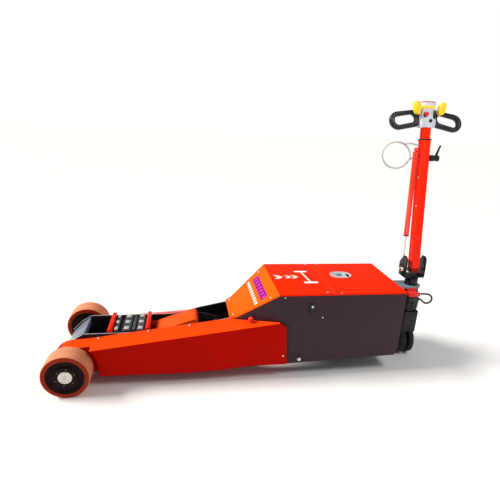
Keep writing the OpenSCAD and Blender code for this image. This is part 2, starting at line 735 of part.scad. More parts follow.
module latch_left() placed() color("#3d4048") panel_latch(-1);
module latch_right() placed() color("#3d4048") panel_latch(1);

// ---------------------------------------------------------------- cords

function unit(v) = v / norm(v);

// A round tube of n sides along the points pts, its rings turned by the smallest angle
module tube_along(pts, d, n) {
    last = len(pts) - 1;
    function dir(i) = unit(pts[min(i + 1, last)] - pts[max(i - 1, 0)]);
    function side(i) = i == 0
        ? unit(cross(dir(0), abs(dir(0)[1]) > 0.9 ? [1, 0, 0] : [0, 1, 0]))
        : let (s = side(i - 1)) unit(s - dir(i) * (s * dir(i)));
    rings = [for (i = [0 : last]) let (u = side(i), v = cross(dir(i), u))
        for (k = [0 : n - 1]) pts[i] + d / 2 * (cos(k * 360 / n) * u + sin(k * 360 / n) * v)];
    faces = concat(
        [for (i = [0 : last - 1], k = [0 : n - 1])
            [i * n + k, i * n + (k + 1) % n, (i + 1) * n + (k + 1) % n, (i + 1) * n + k]],
        [[for (k = [n - 1 : -1 : 0]) k]],
        [[for (k = [0 : n - 1]) last * n + k]]
    );
    polyhedron(points = rings, faces = faces);
}

// Control lead: two loose turns beside the tiller, both ends in the outer tube,
// on the tiller's own axes with x across, y along the lean and z up the tube
turn_steps = 20;
loop_r = 77;
loop_flat = 0.86;
loop_c = [-141, 16, 600];
lead_in = [[-25.5, 4, 655], [-44, 4.5, 655.5], [-64, 7, 660]];
lead_turns = [for (i = [0 : 34]) let (a = 62 + i * 360 / turn_steps)
    loop_c + [loop_r * cos(a) * (1 + 0.03 * sin(a / 2)), i * 0.42 - 4, loop_r * loop_flat * sin(a)]];
lead_out = [[-73, 26.5, 570], [-58, 25.5, 583], [-45, 22.5, 590.5], [-32, 15, 595], [-25.5, 10, 596]];
lead_route = concat(lead_in, lead_turns, lead_out);

module control_lead() placed() color("#8a7f84") leaned() tube_along(lead_route, lead_d, 8);

// Power lead: a loop out of the upper connector and back into the lower one
power_route = [
    [1768.5, -65.5, 378], [1782, -66.3, 379.5], [1799, -70, 380.5], [1816.7, -73, 378.6], [1829.4, -75.5, 372.9],
    [1837.4, -77, 361.9], [1838.6, -78, 348.5], [1832.7, -77, 336.3], [1821.2, -75, 328.6], [1807.3, -72, 327.4],
    [1794, -69, 336], [1783, -66.5, 346.5], [1770.4, -65.5, 350]
];

module power_lead() placed() color("#0f0f10") tube_along(power_route, power_d, 10);

frame_plate_left();
frame_plate_right();
front_cross_member();
tray_floor();
side_beam_left();
side_beam_right();
front_axle();
arm_pivot_shaft();
frame_bolts();
hood();
side_panel_left();
side_panel_right();
rear_panel();
hood_handle_cup();
battery();
oil_tank();
pump_motor();
motor_controller();
steering_bracket();
slew_bearing();
power_connectors();
wheel_left_tyre();
wheel_left_hub();
wheel_left_bearings();
wheel_left_cap();
wheel_right_tyre();
wheel_right_hub();
wheel_right_bearings();
wheel_right_cap();
lift_arm();
arm_cover();
saddle_base();
saddle_lips();
saddle_ribs();
levelling_link();
ram_barrel();
ram_rod();
king_pin();
clevis_bracket();
tiller_bolt();
drive_motor();
drive_gearbox();
drive_cover();
drive_tyres();
drive_hubs();
tiller_tube();
clamp_lever();
strut_tube();
strut_rod();
inner_tube();
head_housing();
handle_loops();
belly_button();
butterflies();
stop_button();
lift_rocker();
latch_left();
latch_right();
control_lead();
power_lead();
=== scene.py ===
"""Looks of a battery-driven trolley jack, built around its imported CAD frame."""

import json
import logging
import math
from dataclasses import dataclass, field
from enum import Enum
from typing import Callable, Iterable, Sequence

import bmesh
import bpy
from mathutils import Matrix, Vector


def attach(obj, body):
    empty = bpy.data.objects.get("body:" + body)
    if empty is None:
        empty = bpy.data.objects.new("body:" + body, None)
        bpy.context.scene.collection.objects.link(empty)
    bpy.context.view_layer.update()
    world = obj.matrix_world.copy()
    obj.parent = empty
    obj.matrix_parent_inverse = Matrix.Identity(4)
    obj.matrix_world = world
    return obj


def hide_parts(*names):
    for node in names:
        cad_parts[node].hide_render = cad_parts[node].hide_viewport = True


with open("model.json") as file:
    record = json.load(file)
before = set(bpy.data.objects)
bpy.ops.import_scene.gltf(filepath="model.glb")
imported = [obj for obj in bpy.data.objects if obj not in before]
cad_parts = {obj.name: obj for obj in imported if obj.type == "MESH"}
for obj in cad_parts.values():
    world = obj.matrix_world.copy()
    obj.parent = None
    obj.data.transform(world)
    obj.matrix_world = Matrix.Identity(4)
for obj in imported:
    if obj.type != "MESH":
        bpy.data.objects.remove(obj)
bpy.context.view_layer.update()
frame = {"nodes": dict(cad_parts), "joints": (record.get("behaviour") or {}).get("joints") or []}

log = logging.getLogger("trolley_jack")

RGB = tuple[float, float, float]
Socket = bpy.types.NodeSocket

JOINTS = {joint["name"]: joint for joint in frame["joints"]}
# The front axle, and the tiller's pivot above the steering axis, in metres
AXLE_X, _, AXLE_Z = JOINTS["wheel_left_spin"]["pos_m"]
STEER_X, _, PIVOT_Z = JOINTS["tiller_tilt"]["pos_m"]
# How far the tiller leans out of the upright, to the side of +Y, to a hundredth of a degree
LEAN = math.radians(round(math.degrees(math.atan2(*JOINTS["tiller_extend"]["axis"][1:])), 2))
# Where the left beam's top starts, in millimetres behind the axle and up, and its slope
BEAM_X, BEAM_Z, BEAM_RISE = 90.0, 199.0, 0.1276


def beam_height(x: float) -> float:
    """Returns the height of the left beam's top, both in millimetres, x behind the axle."""
    return BEAM_Z + (x - BEAM_X) * BEAM_RISE


def at(x: float, y: float, z: float) -> Vector:
    """Returns a point in metres from millimetres behind the front axle, across and up."""
    return Vector((x / 1000 + AXLE_X, y / 1000, z / 1000))


def on_tiller(x: float, y: float, z: float) -> Vector:
    """Gives a point on the leaned tiller.

    Args:
        x: millimetres across the tiller, from its middle.
        y: millimetres along the side it leans to.
        z: millimetres along the tiller from its pivot.

    Returns:
        The point in metres in the machine's frame.
    """
    turned = Matrix.Rotation(-LEAN, 3, "X") @ Vector((x, y, z))
    return turned / 1000 + Vector((STEER_X, 0, PIVOT_Z))


def tiller_matrix(x: float, y: float, z: float) -> Matrix:
    """Returns the place and turn of something drawn upright at a point on the tiller."""
    return Matrix.Translation(on_tiller(x, y, z)) @ Matrix.Rotation(-LEAN, 4, "X")


def facing(origin: Vector, direction: Sequence[float]) -> Matrix:
    """Returns the matrix that takes +Z to a direction and the origin to a point."""
    turn = Vector(direction).to_track_quat("Z", "Y").to_matrix().to_4x4()
    return Matrix.Translation(origin) @ turn


# ---------------------------------------------------------------- shader maths


class Num:
    """A number socket that adds Math nodes when it is used in an expression."""

    def __init__(self, graph: "Nodes", socket: Socket) -> None:
        """Keeps the graph and the socket that it wraps."""
        self.graph = graph
        self.socket = socket

    def _math(self, operation: str, *others: "Num | float") -> "Num":
        """Returns a Math node's result on this value and the others.

        Args:
            operation: the Math node's operation.
            others: its second and third values.

        Returns:
            The result as a number.
        """
        values = {i + 1: o for i, o in enumerate(others)}
        values[0] = self
        return self.graph.num(self.graph.node("ShaderNodeMath", {"operation": operation}, values))

    def __add__(self, other: "Num | float") -> "Num":
        """Returns the sum."""
        return self._math("ADD", other)

    __radd__ = __add__

    def __sub__(self, other: "Num | float") -> "Num":
        """Returns the difference."""
        return self._math("SUBTRACT", other)

    def __rsub__(self, other: "Num | float") -> "Num":
        """Returns the difference the other way round."""
        return (self * -1.0) + other

    def __mul__(self, other: "Num | float") -> "Num":
        """Returns the product."""
        return self._math("MULTIPLY", other)

    __rmul__ = __mul__

    def __truediv__(self, other: "Num | float") -> "Num":
        """Returns the quotient."""
        return self._math("DIVIDE", other)

    def __abs__(self) -> "Num":
        """Returns the size without its sign."""
        return self._math("ABSOLUTE")

    def root(self) -> "Num":
        """Returns the square root."""
        return self._math("SQRT")

    def sine(self) -> "Num":
        """Returns the sine."""
        return self._math("SINE")

    def top(self, other: "Num | float") -> "Num":
        """Returns the larger of two values."""
        return self._math("MAXIMUM", other)

    def clamp(self) -> "Num":
        """Returns the value held between 0 and 1."""
        return self._math("MINIMUM", 1.0).top(0.0)

    def step(self, low: float, high: float) -> "Num":
        """Returns 0 below low, 1 above high and a straight ramp between them."""
        return ((self - low) / (high - low)).clamp()


class Nodes:
    """A node tree that is filled through one method."""

    def __init__(self, tree: bpy.types.NodeTree) -> None:
        """Takes a tree and empties it."""
        self.tree = tree
        self.tree.nodes.clear()

    def node(
        self,
        kind: str,
        settings: dict[str, object] | None = None,
        values: "dict[int | str, Num | Socket | float | Sequence[float]] | None" = None,
    ) -> bpy.types.Node:
        """Adds a node, sets it and fills its sockets.

        Args:
            kind: the node's type.
            settings: properties that are set before the sockets are filled.
            values: a value or a link for each socket, by number or name.

        Returns:
            The new node.
        """
        made = self.tree.nodes.new(kind)
        for key, value in (settings or {}).items():
            setattr(made, key, value)
        for key, value in (values or {}).items():
            if isinstance(value, Num):
                value = value.socket
            if isinstance(value, Socket):
                self.tree.links.new(value, made.inputs[key])
            else:
                made.inputs[key].default_value = value
        return made

    def num(self, node: bpy.types.Node, output: int | str = 0) -> Num:
        """Returns a node's output as a number for expressions."""
        return Num(self, node.outputs[output])


class Graph(Nodes):
    """The node tree of one material."""

    def __init__(self, name: str) -> None:
        """Starts a material with a Principled shader and its Object coordinates.

        Args:
            name: the material's name.
        """
        self.material = bpy.data.materials.new(name)
        self.material.use_nodes = True
        super().__init__(self.material.node_tree)
        self.shader = self.node("ShaderNodeBsdfPrincipled")
        self.node("ShaderNodeOutputMaterial", values={0: self.shader.outputs[0]})
        self.place = self.node("ShaderNodeTexCoord").outputs["Object"]

    def axes(self, origin: Sequence[float] = (0, 0, 0)) -> tuple[Num, Num, Num]:
        """Returns the place on the piece in metres from a point, as three numbers."""
        split = self.node("ShaderNodeSeparateXYZ", values={0: self.place})
        return tuple(self.num(split, i) - float(origin[i]) for i in range(3))

    def along_tiller(self) -> Num:
        """Returns the distance in metres from the tiller's pivot along the tiller."""
        _, y, z = self.axes((0, 0, PIVOT_Z))
        return y * math.sin(LEAN) + z * math.cos(LEAN)

    def noise(self, scale: float, detail: float = 3.0, stretch: Sequence[float] = (1, 1, 1)) -> Num:
        """Adds smooth noise.

        Args:
            scale: how many cells a metre holds.
            detail: how many finer layers it has.
            stretch: a factor on the scale along each axis.

        Returns:
            A value around 0.5.
        """
        mapped = self.node("ShaderNodeMapping", values={"Vector": self.place, "Scale": stretch})
        made = self.node(
            "ShaderNodeTexNoise", values={"Vector": mapped.outputs[0], "Scale": scale, "Detail": detail}
        )
        return self.num(made)

    def cells(self, scale: float) -> Num:
        """Adds a crystal pattern.

        Args:
            scale: how many grains a metre holds.

        Returns:
            A value from 0 to 1 that is the same all over a grain.
        """
        made = self.node("ShaderNodeTexVoronoi", values={"Vector": self.place, "Scale": scale})
        split = self.node("ShaderNodeSeparateXYZ", values={0: made.outputs["Color"]})
        return self.num(split)

    def mix(self, factor: Num, a: "RGB | Socket", b: "RGB | Socket") -> Socket:
        """Mixes two colours.

        Args:
            factor: how much of b shows, from 0 to 1.
            a: the colour under it.
            b: the colour over it.

        Returns:
            The mixed colour.
        """
        a, b = (((*c, 1.0) if isinstance(c, tuple) else c) for c in (a, b))
        made = self.node("ShaderNodeMix", {"data_type": "RGBA"}, {0: factor, 6: a, 7: b})
        return made.outputs[2]

    def bump(self, height: Num, strength: float, distance: float) -> None:
        """Feeds the shader's Normal from a height.

        Args:
            height: the height of the surface.
            strength: how much of it shows, from 0 to 1.
            distance: metres that a height of 1 stands for.
        """
        made = self.node(
            "ShaderNodeBump", values={"Height": height, "Strength": strength, "Distance": distance}
        )
        self.tree.links.new(made.outputs[0], self.shader.inputs["Normal"])

    def feed(self, socket: str, value: "Num | Socket | float | Sequence[float]") -> None:
        """Sets or links one of the shader's sockets.

        Args:
            socket: the socket's name.
            value: a value that is the same all over, or what to link.
        """
        if isinstance(value, Num):
            value = value.socket
        if isinstance(value, Socket):
            self.tree.links.new(value, self.shader.inputs[socket])
        else:
            self.shader.inputs[socket].default_value = value

    def patch(self, across: Num, along: Num, half_a: float, half_b: float, soft: float = 0.0008) -> Num:
        """Returns 1 inside a flat rectangle about 0,0 and 0 outside it."""
        outside = (abs(across) - half_a).top(abs(along) - half_b)
        return 1.0 - outside.step(-soft, soft)


# ---------------------------------------------------------------- finishes


@dataclass(frozen=True)
class Paint:
    """Powder coat or paint on sheet steel."""

    colour: RGB
    roughness: float = 0.34
    coat: float = 0.04
    gloss: float = 0.07
    peel: float = 0.05
    dust: float = 0.10
    dust_colour: RGB = (0.42, 0.33, 0.27)
    worn: RGB = (0.30, 0.28, 0.27)
    extra: "Callable[[Graph, Socket], Socket] | None" = None

    def build(self, name: str) -> bpy.types.Material:
        """Builds mottled colour, low dust, fine scratches and orange peel.

        Args:
            name: the material's name.

        Returns:
            The material.
        """
        g = Graph(name)
        _, _, z = g.axes()
        cloud = g.noise(7.0, 5.0)
        deep = tuple(c * 0.90 for c in self.colour)
        colour = g.mix(cloud.step(0.25, 0.75), deep, self.colour)
        if self.extra:
            colour = self.extra(g, colour)
        low = 1.0 - z.step(0.06, 0.34)
        grime = (g.noise(34.0, 6.0).step(0.42, 0.72) * (0.15 + 0.85 * low) * self.dust).clamp()
        colour = g.mix(grime, colour, self.dust_colour)
        scratch = g.noise(90.0, 2.0, (0.12, 1.0, 1.6)).step(0.70, 0.74)
        scratch = scratch * g.noise(9.0, 2.0).step(0.52, 0.60)
        colour = g.mix(scratch * 0.16, colour, self.worn)
        g.feed("Base Color", colour)
        rough = self.roughness + (cloud - 0.5) * 0.12 + grime * 0.35 + scratch * 0.2
        g.feed("Roughness", rough.clamp())
        g.feed("Coat Weight", self.coat)
        g.feed("Coat Roughness", 0.12)
        g.feed("Specular IOR Level", self.gloss)
        g.bump(g.noise(620.0, 2.0) + scratch * -0.6, self.peel, 0.0006)
        return g.material


@dataclass(frozen=True)
class Plastic:
    """Moulded plastic or rubber with a fine grain."""

    colour: RGB
    roughness: float = 0.45
    grain: float = 0.25
    grain_scale: float = 900.0
    dust: float = 0.12
    extra: "Callable[[Graph, Socket], Socket] | None" = None

    def build(self, name: str) -> bpy.types.Material:
        """Builds an even colour with faint handling marks and a leathery grain.

        Args:
            name: the material's name.

        Returns:
            The material.
        """
        g = Graph(name)
        cloud = g.noise(22.0, 4.0)
        pale = tuple(min(c * 1.35 + 0.01, 1.0) for c in self.colour)
        colour = g.mix(cloud.step(0.35, 0.8), self.colour, pale)
        if self.extra:
            colour = self.extra(g, colour)
        film = g.noise(60.0, 6.0).step(0.5, 0.8) * self.dust
        colour = g.mix(film, colour, (0.45, 0.40, 0.36))
        g.feed("Base Color", colour)
        g.feed("Roughness", (self.roughness + (cloud - 0.5) * 0.2 + film * 0.5).clamp())
        g.feed("Specular IOR Level", 0.25)
        g.bump(g.noise(self.grain_scale, 3.0), self.grain, 0.0004)
        return g.material


@dataclass(frozen=True)
class Steel:
    """Bare, plated or polished metal."""

    colour: RGB
    roughness: float = 0.3
    brushed: Sequence[float] = (1.0, 1.0, 1.0)
    spangle: float = 0.0
    rust: float = 0.0

    def build(self, name: str) -> bpy.types.Material:
        """Builds brushed lines or zinc spangle, and a little rust.

        Args:
            name: the material's name.

        Returns:
            The material.
        """
        g = Graph(name)
        lines = g.noise(240.0, 3.0, self.brushed)
        dark = tuple(c * 0.7 for c in self.colour)
        tone = lines
        if self.spangle:
            tone = lines * (1.0 - self.spangle) + g.cells(160.0) * self.spangle
        colour = g.mix(tone.step(0.3, 0.7), dark, self.colour)
        spots = g.noise(75.0, 6.0).step(0.60, 0.72) * self.rust
        colour = g.mix(spots, colour, (0.19, 0.075, 0.03))
        g.feed("Base Color", colour)
        g.feed("Metallic", (1.0 - spots).clamp())
        g.feed("Roughness", (self.roughness + (tone - 0.5) * 0.18 + spots * 0.4).clamp())
        g.bump(lines, 0.12, 0.0003)
        return g.material


@dataclass(frozen=True)
class Casting:
    """Painted iron casting with a sandy skin and grime in it."""

    colour: RGB
    roughness: float = 0.55

    def build(self, name: str) -> bpy.types.Material:
        """Builds dark paint over a pitted, dusty surface.

        Args:
            name: the material's name.

        Returns:
            The material.
        """
        g = Graph(name)
        skin = g.noise(320.0, 5.0)
        patches = g.noise(28.0, 5.0).step(0.45, 0.75)
        colour = g.mix(patches * 0.5, self.colour, tuple(c * 2.0 + 0.010 for c in self.colour))
        g.feed("Base Color", colour)
        g.feed("Roughness", (self.roughness + (skin - 0.5) * 0.3).clamp())
        g.feed("Specular IOR Level", 0.08)
        g.bump(skin, 0.5, 0.0008)
        return g.material


@dataclass(frozen=True)
class Tread:
    """Polyurethane running surface: dusty where it rolls, deeper in colour on its sides."""

    rolled: RGB = (0.76, 0.29, 0.15)
    side: RGB = (0.30, 0.020, 0.004)
    shadow: RGB = (0.022, 0.007, 0.006)
    radius: float = 0.1035
    core: float = 0.084

    def build(self, name: str) -> bpy.types.Material:
        """Builds the tread, split by the distance from the axle.

        Args:
            name: the material's name.

        Returns:
            The material.
        """
        g = Graph(name)
        x, y, z = g.axes((AXLE_X, 0, AXLE_Z))
        out = (x * x + z * z).root()
        grit = g.noise(120.0, 6.0)
        bands = g.noise(50.0, 3.0, (0.1, 2.2, 0.1))
        rolled = g.mix(bands.step(0.35, 0.7), tuple(c * 0.8 for c in self.rolled), self.rolled)
        rolled = g.mix(grit.step(0.62, 0.75) * 0.5, rolled, (0.36, 0.20, 0.13))
        side = g.mix(grit.step(0.55, 0.8) * 0.25, self.side, (0.46, 0.12, 0.05))
        side = g.mix(out.step(self.core - 0.0005, self.core + 0.0005), self.shadow, side)
        colour = g.mix(out.step(self.radius - 0.0015, self.radius), side, rolled)
        g.feed("Base Color", colour)
        g.feed("Roughness", (0.42 + (grit - 0.5) * 0.3 + out.step(0.1, 0.105) * 0.2).clamp())
        g.feed("Specular IOR Level", 0.08)
        g.bump(grit + bands * 0.5, 0.25, 0.0008)
        return g.material


def hood_marks(g: Graph, colour: Socket) -> Socket:
    """Adds painted sunlight on the hood's slope, a lighter orange than its top, then the plain bands on the
    slope and the lift symbol on its top.

    Args:
        g: the hood's graph.
        colour: the paint's colour.

    Returns:
        The colour with the marks.
    """
    x, y, _ = g.axes((AXLE_X, 0, 0))
    slope = 1.0 - x.step(0.9585, 0.9615)
    top = x.step(0.9615, 0.965)
    # Painted light: the sunlit slope in a lighter orange than the top
    colour = g.mix(slope, colour, SUNLIT_SLOPE_ORANGE)
    # A broken white stripe low on the slope, and a plum bar with plain blocks above it
    dashes = (y * 230.0).sine().step(-0.45, -0.25)
    stripe = g.patch(x - 0.864, y + 0.007, 0.0070, 0.133) * dashes * slope
    colour = g.mix(stripe * 0.75, colour, (0.85, 0.83, 0.80))
    bar = g.patch(x - 0.902, y + 0.010, 0.0150, 0.128) * slope
    inner = g.patch(x - 0.902, y + 0.010, 0.0080, 0.120) * slope
    blocks = (y * 175.0 + 0.9).sine().step(-0.80, -0.65)
    colour = g.mix(bar * 0.95, colour, PLUM)
    colour = g.mix(inner * (1.0 - blocks) * 0.7, colour, SUNLIT_SLOPE_ORANGE)
    # The axle seen from above: a pad at each end of a slanting rail
    for cx, cy, half_x, half_y in ((1.140, 0.085, 0.034, 0.0085), (1.156, -0.065, 0.036, 0.0095)):
        pad = g.patch(x - cx, y - cy, half_x, half_y, 0.002)
        colour = g.mix(pad * top, colour, MARK_WHITE)
    rail = g.patch(x - 1.148 + (y - 0.01) * 0.107, y - 0.01, 0.0045, 0.075, 0.001)
    colour = g.mix(rail * top, colour, MARK_WHITE)
    # Painted sun glints: three pale chevrons that point to it, each with its middle and its half height
    for cx, half in ((1.012, 0.024), (1.062, 0.018), (1.098, 0.020)):
        glint_chevron = g.patch(x - cx + abs(y - 0.012) * 0.9, y - 0.012, half * 0.55, half, 0.003)
        colour = g.mix(glint_chevron * top * 0.9, colour, (0.86, 0.72, 0.68))
    seam = g.patch(x - 1.236, y, 0.0011, 0.206) * 0.35
    return g.mix(seam, colour, (0.85, 0.16, 0.08))


def sunlit_beam_top(g: Graph, colour: Socket) -> Socket:
    """Paints the beam's top sheet lighter and more orange than its face, as painted sunlight on the top.

    Args:
        g: the piece's graph.
        colour: the colour so far.

    Returns:
        The colour with the top sheet's own.
    """
    x, _, z = g.axes((AXLE_X, 0, 0))
    line = BEAM_Z / 1000 + (x - BEAM_X / 1000) * BEAM_RISE
    # Painted light: the upward top sheet lit, the face below left in its shaded colour
    above = (z - line).step(-0.0026, -0.0016)
    return g.mix(above, colour, (0.90, 0.055, 0.003))


def shaded_tube_foot(g: Graph, colour: Socket) -> Socket:
    """Darkens the tiller's foot with painted shade, where its lower end is in shadow."""
    foot = 1.0 - g.along_tiller().step(0.006, 0.009)
    return g.mix(foot * 0.9, colour, (0.16, 0.006, 0.005))


def arm_root(g: Graph, colour: Socket) -> Socket:
    """Leaves the arm's rear part, inside the frame, in black."""
    x, _, _ = g.axes((AXLE_X, 0, 0))
    return g.mix(x.step(0.585, 0.592), colour, (0.010, 0.010, 0.013))


def lower_plug(g: Graph, colour: Socket) -> Socket:
    """Makes the lower of the two plugs black."""
    _, _, z = g.axes()
    return g.mix(1.0 - z.step(0.3635, 0.3645), colour, (0.012, 0.012, 0.012))


def head_bands(g: Graph, colour: Socket) -> Socket:
    """Adds the yellow band and the red edge of the switch block at the head's end.

    Args:
        g: the piece's graph.
        colour: the colour so far.

    Returns:
        The colour with both bands.
    """
    up = g.along_tiller()
    band = up.step(0.8325, 0.8330) * (1.0 - up.step(0.8475, 0.8480))
    colour = g.mix(band, colour, (0.93, 0.66, 0.06))
    return g.mix(up.step(0.8635, 0.8640), colour, (0.62, 0.02, 0.02))


# Painted sunlight: the lighter orange of the hood's sunlit slope
SUNLIT_SLOPE_ORANGE: RGB = (0.92, 0.100, 0.004)
MACHINE_RED: RGB = (0.90, 0.022, 0.002)
PLUM: RGB = (0.20, 0.004, 0.26)
MARK_WHITE: RGB = (0.86, 0.83, 0.80)
HEAD_GREY: RGB = (0.50, 0.53, 0.60)
PLUG_RED: RGB = (0.62, 0.015, 0.012)


class Finish(Enum):
    """The finishes of the machine, by the name of the material slot each one fills."""

    RED = ("red_paint", Paint(MACHINE_RED))
    # Painted shade: a darker copy of the machine red for the left beam, whose face is in shade
    SHADED_BEAM = (
        "red_paint",
        Paint((0.46, 0.0035, 0.001), roughness=0.46, coat=0.0, gloss=0.02, dust=0.0, extra=sunlit_beam_top),
    )
    # Painted light: a brighter copy of the machine red, so the tube's face reads lit
    TUBE = ("red_paint", Paint((1.0, 0.018, 0.002), extra=shaded_tube_foot))
    HOOD = (
        "red_paint", Paint(MACHINE_RED, roughness=0.42, coat=0.0, gloss=0.02, dust=0.01, extra=hood_marks)
    )
    STRUT = ("arm_paint", Paint((0.85, 0.030, 0.003), roughness=0.22, coat=0.8, gloss=0.4))
    # Painted sunlight: a more orange copy of the red for the arm cover, whose top faces the sun
    ARM = ("arm_paint", Paint((0.88, 0.085, 0.005)))
    # Painted shade: a darker copy of the red for the lift arm's sides, which are in shadow
    SHADED_CHEEK = ("arm_paint", Paint((0.60, 0.030, 0.004), extra=arm_root))
    DARK = (
        "anthracite_paint",
        Paint(
            (0.040, 0.019, 0.026), roughness=0.5, gloss=0.12, peel=0.3, dust=0.06,
            dust_colour=(0.16, 0.11, 0.11), worn=(0.2, 0.16, 0.16),
        ),
    )
    BLACK = (
        "black_frame_paint",
        Paint(
            (0.005, 0.005, 0.009), coat=0.1, gloss=0.2, peel=0.08, dust=0.05,
            dust_colour=(0.16, 0.14, 0.13),
        ),
    )
    GREY = ("grey_paint", Paint((0.15, 0.19, 0.24), roughness=0.38, coat=0.2, gloss=0.3, peel=0.1, dust=0.15))
    # Painted highlight: bright metal for the sun's glint on the frame plates' top edges
    EDGE = ("black_frame_paint", Steel((0.62, 0.62, 0.66), roughness=0.5))
    SCREW = ("cap_metal", Steel((0.16, 0.12, 0.11), roughness=0.45, rust=0.3))
    CAP = ("cap_metal", Steel((0.74, 0.66, 0.62), roughness=0.34, rust=0.3))
    CUP = ("cap_metal", Plastic((0.40, 0.41, 0.43), roughness=0.30, grain=0.1, dust=0.05))
    PAD = ("rib_steel", Steel((0.95, 0.95, 0.95), roughness=0.6))
    RIB = ("rib_steel", Steel((0.20, 0.21, 0.22), roughness=0.5, spangle=0.5, rust=0.2))
    ZINC = ("zinc_steel", Steel((0.66, 0.64, 0.61), roughness=0.32, rust=0.35))
    CHROME = ("chrome_rod", Steel((0.88, 0.87, 0.87), roughness=0.14, brushed=(1.0, 1.0, 6.0)))
    TREAD = ("polyurethane_tread", Tread())
    HUB = ("cast_hub", Casting((0.012, 0.0045, 0.004)))
    PLASTIC = ("black_plastic", Plastic((0.006, 0.006, 0.007), roughness=0.42, dust=0.04))
    GRIP = (
        "grip_rubber",
        Plastic((0.008, 0.008, 0.010), roughness=0.36, grain=0.3, grain_scale=1300.0, dust=0.04),
    )
    HEAD = ("head_plastic", Plastic(HEAD_GREY, roughness=0.42, grain=0.2))
    HEAD_END = ("head_plastic", Plastic(HEAD_GREY, roughness=0.42, grain=0.2, extra=head_bands))
    YELLOW = ("yellow_plastic", Plastic((0.90, 0.50, 0.015), roughness=0.3, grain=0.1))
    BUTTON = ("red_plastic", Plastic(PLUG_RED, roughness=0.3, grain=0.1))
    PLUG = ("red_plastic", Plastic(PLUG_RED, roughness=0.3, grain=0.1, extra=lower_plug))
    TYRE = (
        "drive_rubber",
        Plastic((0.006, 0.006, 0.006), roughness=0.62, grain=0.5, grain_scale=500.0, dust=0.10),
    )
    BATTERY = ("battery_case", Plastic((0.03, 0.036, 0.045), roughness=0.5, grain=0.3))
    LEAD = ("lead_jacket", Plastic((0.42, 0.37, 0.38), roughness=0.40, grain=0.1))
    CABLE = ("power_jacket", Plastic((0.012, 0.012, 0.012), grain=0.15))

    @property
    def slot(self) -> str:
        """Returns the record's slot that the finish fills."""
        return self.value[0]

    def material(self) -> bpy.types.Material:
        """Returns the finish's material, built once."""
        name = "finish_" + self.name.lower()
        return bpy.data.materials.get(name) or self.value[1].build(name)


# ---------------------------------------------------------------- mesh helpers


def finish_piece(
    name: str,
    bm: bmesh.types.BMesh,
    finish: Finish,
    body: str,
    replaces: Sequence[str] = (),
    smooth: float = 32.0,
) -> None:
    """Turns a bmesh into a dressed piece that rides on a body.

    Args:
        name: the piece's plain name.
        bm: its shape in the machine's frame, which this frees.
        finish: what it is made of.
        body: the CAD body that it moves with.
        replaces: CAD nodes that it stands for.
        smooth: the angle in degrees under which an edge is shaded smooth.
    """
    mesh = bpy.data.meshes.new(name)
    bm.to_mesh(mesh)
    bm.free()
    mesh.shade_smooth()
    mesh.set_sharp_from_angle(angle=math.radians(smooth))
    piece = bpy.data.objects.new(name, mesh)
    bpy.context.scene.collection.objects.link(piece)
    mesh.materials.append(finish.material())
    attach(piece, body)
    if replaces:
        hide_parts(*replaces)
    log.info("%s: %d faces on %s", name, len(mesh.polygons), body)


def bevel_sharp(bm: bmesh.types.BMesh, width: float, segments: int = 2, angle: float = 28.0) -> None:
    """Rounds every sharp edge.

    Args:
        bm: the shape.
        width: the width of the rounding in metres.
        segments: how many faces it takes.
        angle: the angle in degrees over which an edge is sharp.
    """
    limit = math.radians(angle)
    sharp = [e for e in bm.edges if len(e.link_faces) == 2 and e.calc_face_angle(0.0) > limit]
    bmesh.ops.bevel(
        bm, geom=sharp, offset=width, offset_type="OFFSET", segments=segments, profile=0.5,
        affect="EDGES", clamp_overlap=False, material=-1, loop_slide=True,
    )


def copy_of(node: str) -> bmesh.types.BMesh:
    """Copies a CAD node's mesh with its corners joined and its flat faces made whole.

    Args:
        node: the node's name.

    Returns:
        A copy of its mesh.
    """
    bm = bmesh.new()
    bm.from_mesh(frame["nodes"][node].data)
    bmesh.ops.remove_doubles(bm, verts=bm.verts, dist=1e-5)
    bmesh.ops.dissolve_limit(
        bm, angle_limit=math.radians(0.6), verts=bm.verts, edges=bm.edges, delimit={"NORMAL"}
    )
    return bm


def soften(node: str, finish: Finish, body: str, width_mm: float, segments: int = 2) -> None:
    """Makes a piece from a CAD node with its edges rounded, in the node's place.

    Args:
        node: the node that it stands for.
        finish: what it is made of.
        body: the CAD body that it moves with.
        width_mm: the width of the rounding.
        segments: how many faces the rounding takes.
    """
    bm = copy_of(node)
    bevel_sharp(bm, width_mm / 1000, segments)
    finish_piece(node + "_shell", bm, finish, body, [node])


def dress(node: str, finish: Finish) -> None:
    """Gives a CAD node that is carried over its finish.

    Args:
        node: the node's name.
        finish: what it is made of.
    """
    mesh = frame["nodes"][node].data
    mesh.materials.clear()
    mesh.materials.append(finish.material())


def lathe(
    profile: Sequence[tuple[float, float]], matrix: Matrix, steps: int = 72, closed: bool = False
) -> bmesh.types.BMesh:
    """Spins a profile about +Z.

    Args:
        profile: points as radius and height, in millimetres.
        matrix: where the spun shape goes.
        steps: how many steps make the turn.
        closed: whether the profile joins up, as a ring's does.

    Returns:
        The closed shape.
    """
    bm = bmesh.new()
    verts = [bm.verts.new((r / 1000, 0, z / 1000)) for r, z in profile]
    pairs = list(zip(verts, verts[1:])) + ([(verts[-1], verts[0])] if closed else [])
    edges = [bm.edges.new(p) for p in pairs]
    bmesh.ops.spin(
        bm, geom=verts + edges, cent=(0, 0, 0), axis=(0, 0, 1), dvec=(0, 0, 0),
        angle=math.tau, steps=steps, use_merge=True, use_normal_flip=False, use_duplicate=False,
    )
    bmesh.ops.remove_doubles(bm, verts=bm.verts, dist=2e-6)
    bmesh.ops.recalc_face_normals(bm, faces=bm.faces)
    bmesh.ops.transform(bm, matrix=matrix, verts=bm.verts)
    return bm


